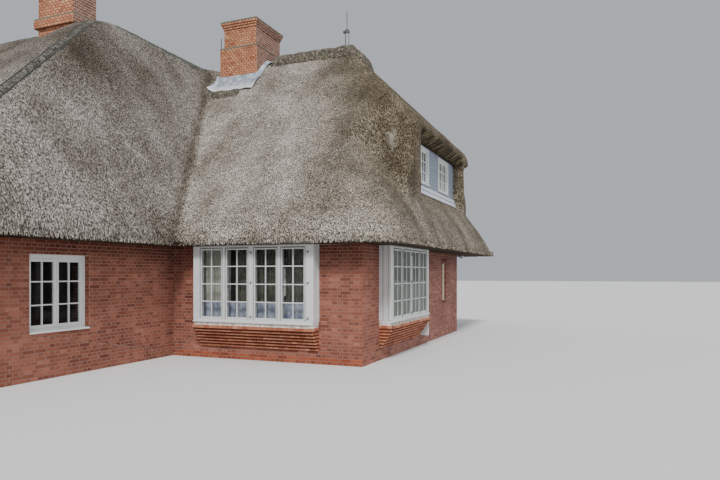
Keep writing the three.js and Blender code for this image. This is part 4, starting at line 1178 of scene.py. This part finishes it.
def makeDormerBoards():
    x, (near, far), z = dormer["face"], boards["openings"], boards["from"]
    bm = bmesh.new()
    while z < dormer["head"] - 0.01:
        top = min(z + boards["lap"] + boards["overlap"], dormer["head"])
        runs = [(dormer["y0"], dormer["y1"])]
        if z + boards["lap"] > dormerWindow["bottom"] and z < dormerWindow["top"]:
            runs = [(dormer["y0"], near[0]), (near[1], far[0]), (far[1], dormer["y1"])]
        for y0, y1 in runs:
            for vert in addBox(bm, (x + boards["behind"], y0, z), (x + boards["thick"], y1, top)):
                if vert.co.z > z + 0.03 and vert.co.x > x + 0.01:
                    vert.co.x = x + boards["thin"]
        z += boards["lap"]
    makePiece("dormer_lapped_boards", bm, [greyPaint], bevel=boards["boardBevel"], segments=1)
    bm = bmesh.new()
    front, wide, cover = x + boards["casingThick"], boards["casing"], boards["cover"]
    low, high = boards["casingHeights"]
    for y0, y1 in boards["openings"]:
        addBox(bm, (x, y0 - wide, low), (front, y0 + cover, high))
        addBox(bm, (x, y1 - cover, low), (front, y1 + wide, high))
        addBox(bm, (x, y0 + cover, boards["head"]), (front, y1 - cover, high))
        addBox(bm, (x, y0 - wide, boards["ledge"][0]),
               (x + boards["ledgeOut"], y1 + wide, boards["ledge"][1]))
    makePiece("dormer_casings", bm, [whitePaint], bevel=boards["bevel"])
    bm = bmesh.new()
    for z0, z1, out in boards["bands"]:
        end = boards["end"]
        for vert in addBox(bm, (x - end, dormer["y0"] + end, z0), (x + out, dormer["y1"] - end, z1)):
            if vert.co.z > (z0 + z1) / 2 and vert.co.x > x + 0.01:
                vert.co.x -= boards["bandSlope"]
    makePiece("dormer_flashing", bm, [flashingPaint], ["dormer_sill"], bevel=boards["bandBevel"])


makeDormerBoards()
print("dormer boarded")


# Small things: the wing chimney's rod, the mast's cap, ring and knob,
# and the board at the right bay's far end

smallThings = {  # rods: x, y, z0, z1, radius, top radius, sides
    "bevel": 0.004,
    "rods": [(-5.845, 3.97, 7.93, 8.24, 0.012, 0.012, 12), (-2.25, 4.5, 8.05, 8.13, 0.071, 0.066, 20),
             (-2.25, 4.5, 8.13, 8.16, 0.066, 0.025, 20), (-2.325, 4.47, 8.055, 8.115, 0.024, 0.024, 12)],
    "endBoard": [((0.002, 3.531, 0.25), (0.249, 3.552, 0.735)), ((0.002, 3.552, 0.25), (0.05, 3.566, 0.735))],
}


def makeSmallThings():
    bm = bmesh.new()
    for rod in smallThings["rods"]:
        addRod(bm, *rod)
    makePiece("mast_cap_and_rod", bm, [weatheredSteel])
    bm = bmesh.new()
    for low, high in smallThings["endBoard"]:
        addBox(bm, low, high)
    makePiece("right_bay_end_board", bm, [whitePaint], bevel=smallThings["bevel"])


makeSmallThings()

slitSurround = {
    "y0": 5.78, "y1": 6.18, "sill": 0.98, "head": 1.96, "proud": 0.008, "teeth": (0.055, 0.11),
    "joint": 0.005,
    "rise": 0.05, "arch": 0.1, "archHalf": 0.021, "archOver": 0.03, "voussoirs": 9, "lean": -26,
    "sillBricks": 4, "sillStep": 0.115, "sillBrick": 0.107, "sillTop": 0.004, "sillDeep": 0.07,
    "sillOut": 0.022,
    "sillSlope": 0.028, "sillIn": 0.045, "sunk": 0.02, "gap": 0.002, "archGap": 0.012, "toothShade": (0.05, 0.75),
    "bevel": 0.003,
}


def makeSlitSurround():  # toothed jambs, a flat arch of bricks on end, and a sloping brick sill
    values = slitSurround
    y0, y1, sill, head, proud = (values[key] for key in ("y0", "y1", "sill", "head", "proud"))
    over, joint, half, sunk, gap = (values[key] for key in ("archOver", "joint", "archHalf", "sunk", "gap"))
    bm = bmesh.new()
    z, row = sill, 0
    while z < head - 0.03:
        reach = values["teeth"][row % 2]
        for low, high in ((y0 - reach, y0 - gap), (y1 + gap, y1 + reach)):
            addBox(bm, (-sunk, low, z + joint), (proud, high, z + bricks["course"] - joint))
        z += bricks["course"]
        row += 1
    for i in range(values["voussoirs"]):
        place = (i + 0.5) / values["voussoirs"]
        y = y0 - over + (y1 - y0 + 2 * over) * place
        lift = values["rise"] * (1 - (2 * place - 1) ** 2)
        made = addBox(bm, (-sunk, -half, 0), (proud + gap, half, values["arch"]))
        rotate(bm, made, math.radians(values["lean"]) * (2 * place - 1), "X")
        bmesh.ops.translate(bm, verts=made, vec=(0, y, head + values["archGap"] + lift))
    for i in range(values["sillBricks"]):
        low = y0 - over + i * values["sillStep"]
        front, far, top = values["sillOut"], low + values["sillBrick"], sill - values["sillTop"]
        for vert in addBox(bm, (-values["sillIn"], low, sill - values["sillDeep"]), (front, far, top)):
            if vert.co.x > 0 and vert.co.z > sill - 0.03:
                vert.co.z -= values["sillSlope"]
    # painted shade: every other course of the toothed jambs dark, as the toothing's shade; the arch and the
    # sill take the dark tone too
    tone = bm.faces.layers.float.new("tone")
    dark, light = values["toothShade"]
    for face in bm.faces:
        middle = face.calc_center_median().z
        row = int(middle / bricks["course"])
        face[tone] = dark if row % 2 or not sill < middle < head else light
    makePiece("slit_window_surround", bm, [wallBrick], bevel=values["bevel"])


makeSlitSurround()


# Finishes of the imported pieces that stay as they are

kept = {
    "brick": wallBrick, "chimney_brick": chimneyBrick, "ridge_cap": ridgeSod, "white_joinery": whitePaint,
    "glass": windowGlass, "lead": sheetLead, "grey_boards": greyPaint, "timber": stainedWood,
    "floor_slab": trowelledFloor, "metal": galvanised, "thatch": thatchReed,
}
for row in frame["record"]["subparts"]:
    mesh = nodes[row["node"]].data
    mesh.materials.clear()
    mesh.materials.append(whitePaint if row["node"] == "eave_lamp" else kept[row["material_slot"]])
print("packed pieces finished")


# Floor, light and camera

lamps = {  # strength, angle of the lamp's disc, turn
    "key": (3.0, 12, (44, 0, 20)), "fill": (0.9, 40, (55, 0, 66)),
}
sky = {"colour": "#e9eef6", "strength": 0.6}
ground = {"half": 120, "low": 0.002}  # just under the house, so that no two faces share a plane
view = {"place": (11.245, -12.185, 1.71), "heading": (0.378, 0.926), "lens": 30.25, "sensor": 36,
        "shift": 33 / 720, "far": 500}


def placeObject(name, data):
    thing = bpy.data.objects.new(name, data)
    bpy.context.scene.collection.objects.link(thing)
    return thing


def makeStage():
    bm = bmesh.new()
    bmesh.ops.create_grid(bm, x_segments=4, y_segments=4, size=ground["half"])
    mesh = bpy.data.meshes.new("floor")
    bm.to_mesh(mesh)
    bm.free()
    floor = placeObject("floor", mesh)
    floor.location.z = -ground["low"]
    fields = {"cloud": ("TexNoise", {"Vector": "place", "Scale": 0.05, "Detail": 2, "Roughness": 0.5})}
    mesh.materials.append(makeFinish("paleFloor", {"Roughness": 0.9}, fields,
                                     ("cloud", (0.2, "#d6d6d4"), (0.8, "#dedddb"))))


def makeLights():
    world = bpy.data.worlds.new("studio")
    world.use_nodes = True
    world.node_tree.nodes["Background"].inputs[0].default_value = hexColour(sky["colour"])
    world.node_tree.nodes["Background"].inputs[1].default_value = sky["strength"]
    bpy.context.scene.world = world
    for name, (energy, angle, turn) in lamps.items():
        lamp = bpy.data.lights.new(name, "SUN")
        lamp.energy = energy
        lamp.angle = math.radians(angle)
        placeObject(name, lamp).rotation_euler = [math.radians(a) for a in turn]


def makeCamera():
    data = bpy.data.cameras.new("camera")
    data.lens, data.sensor_width = view["lens"], view["sensor"]
    data.shift_y, data.clip_end = view["shift"], view["far"]
    camera = placeObject("camera", data)
    camera.location = view["place"]
    camera.rotation_euler = (math.radians(90), 0, math.atan2(*view["heading"]))
    bpy.context.scene.camera = camera


makeStage()
makeLights()
makeCamera()
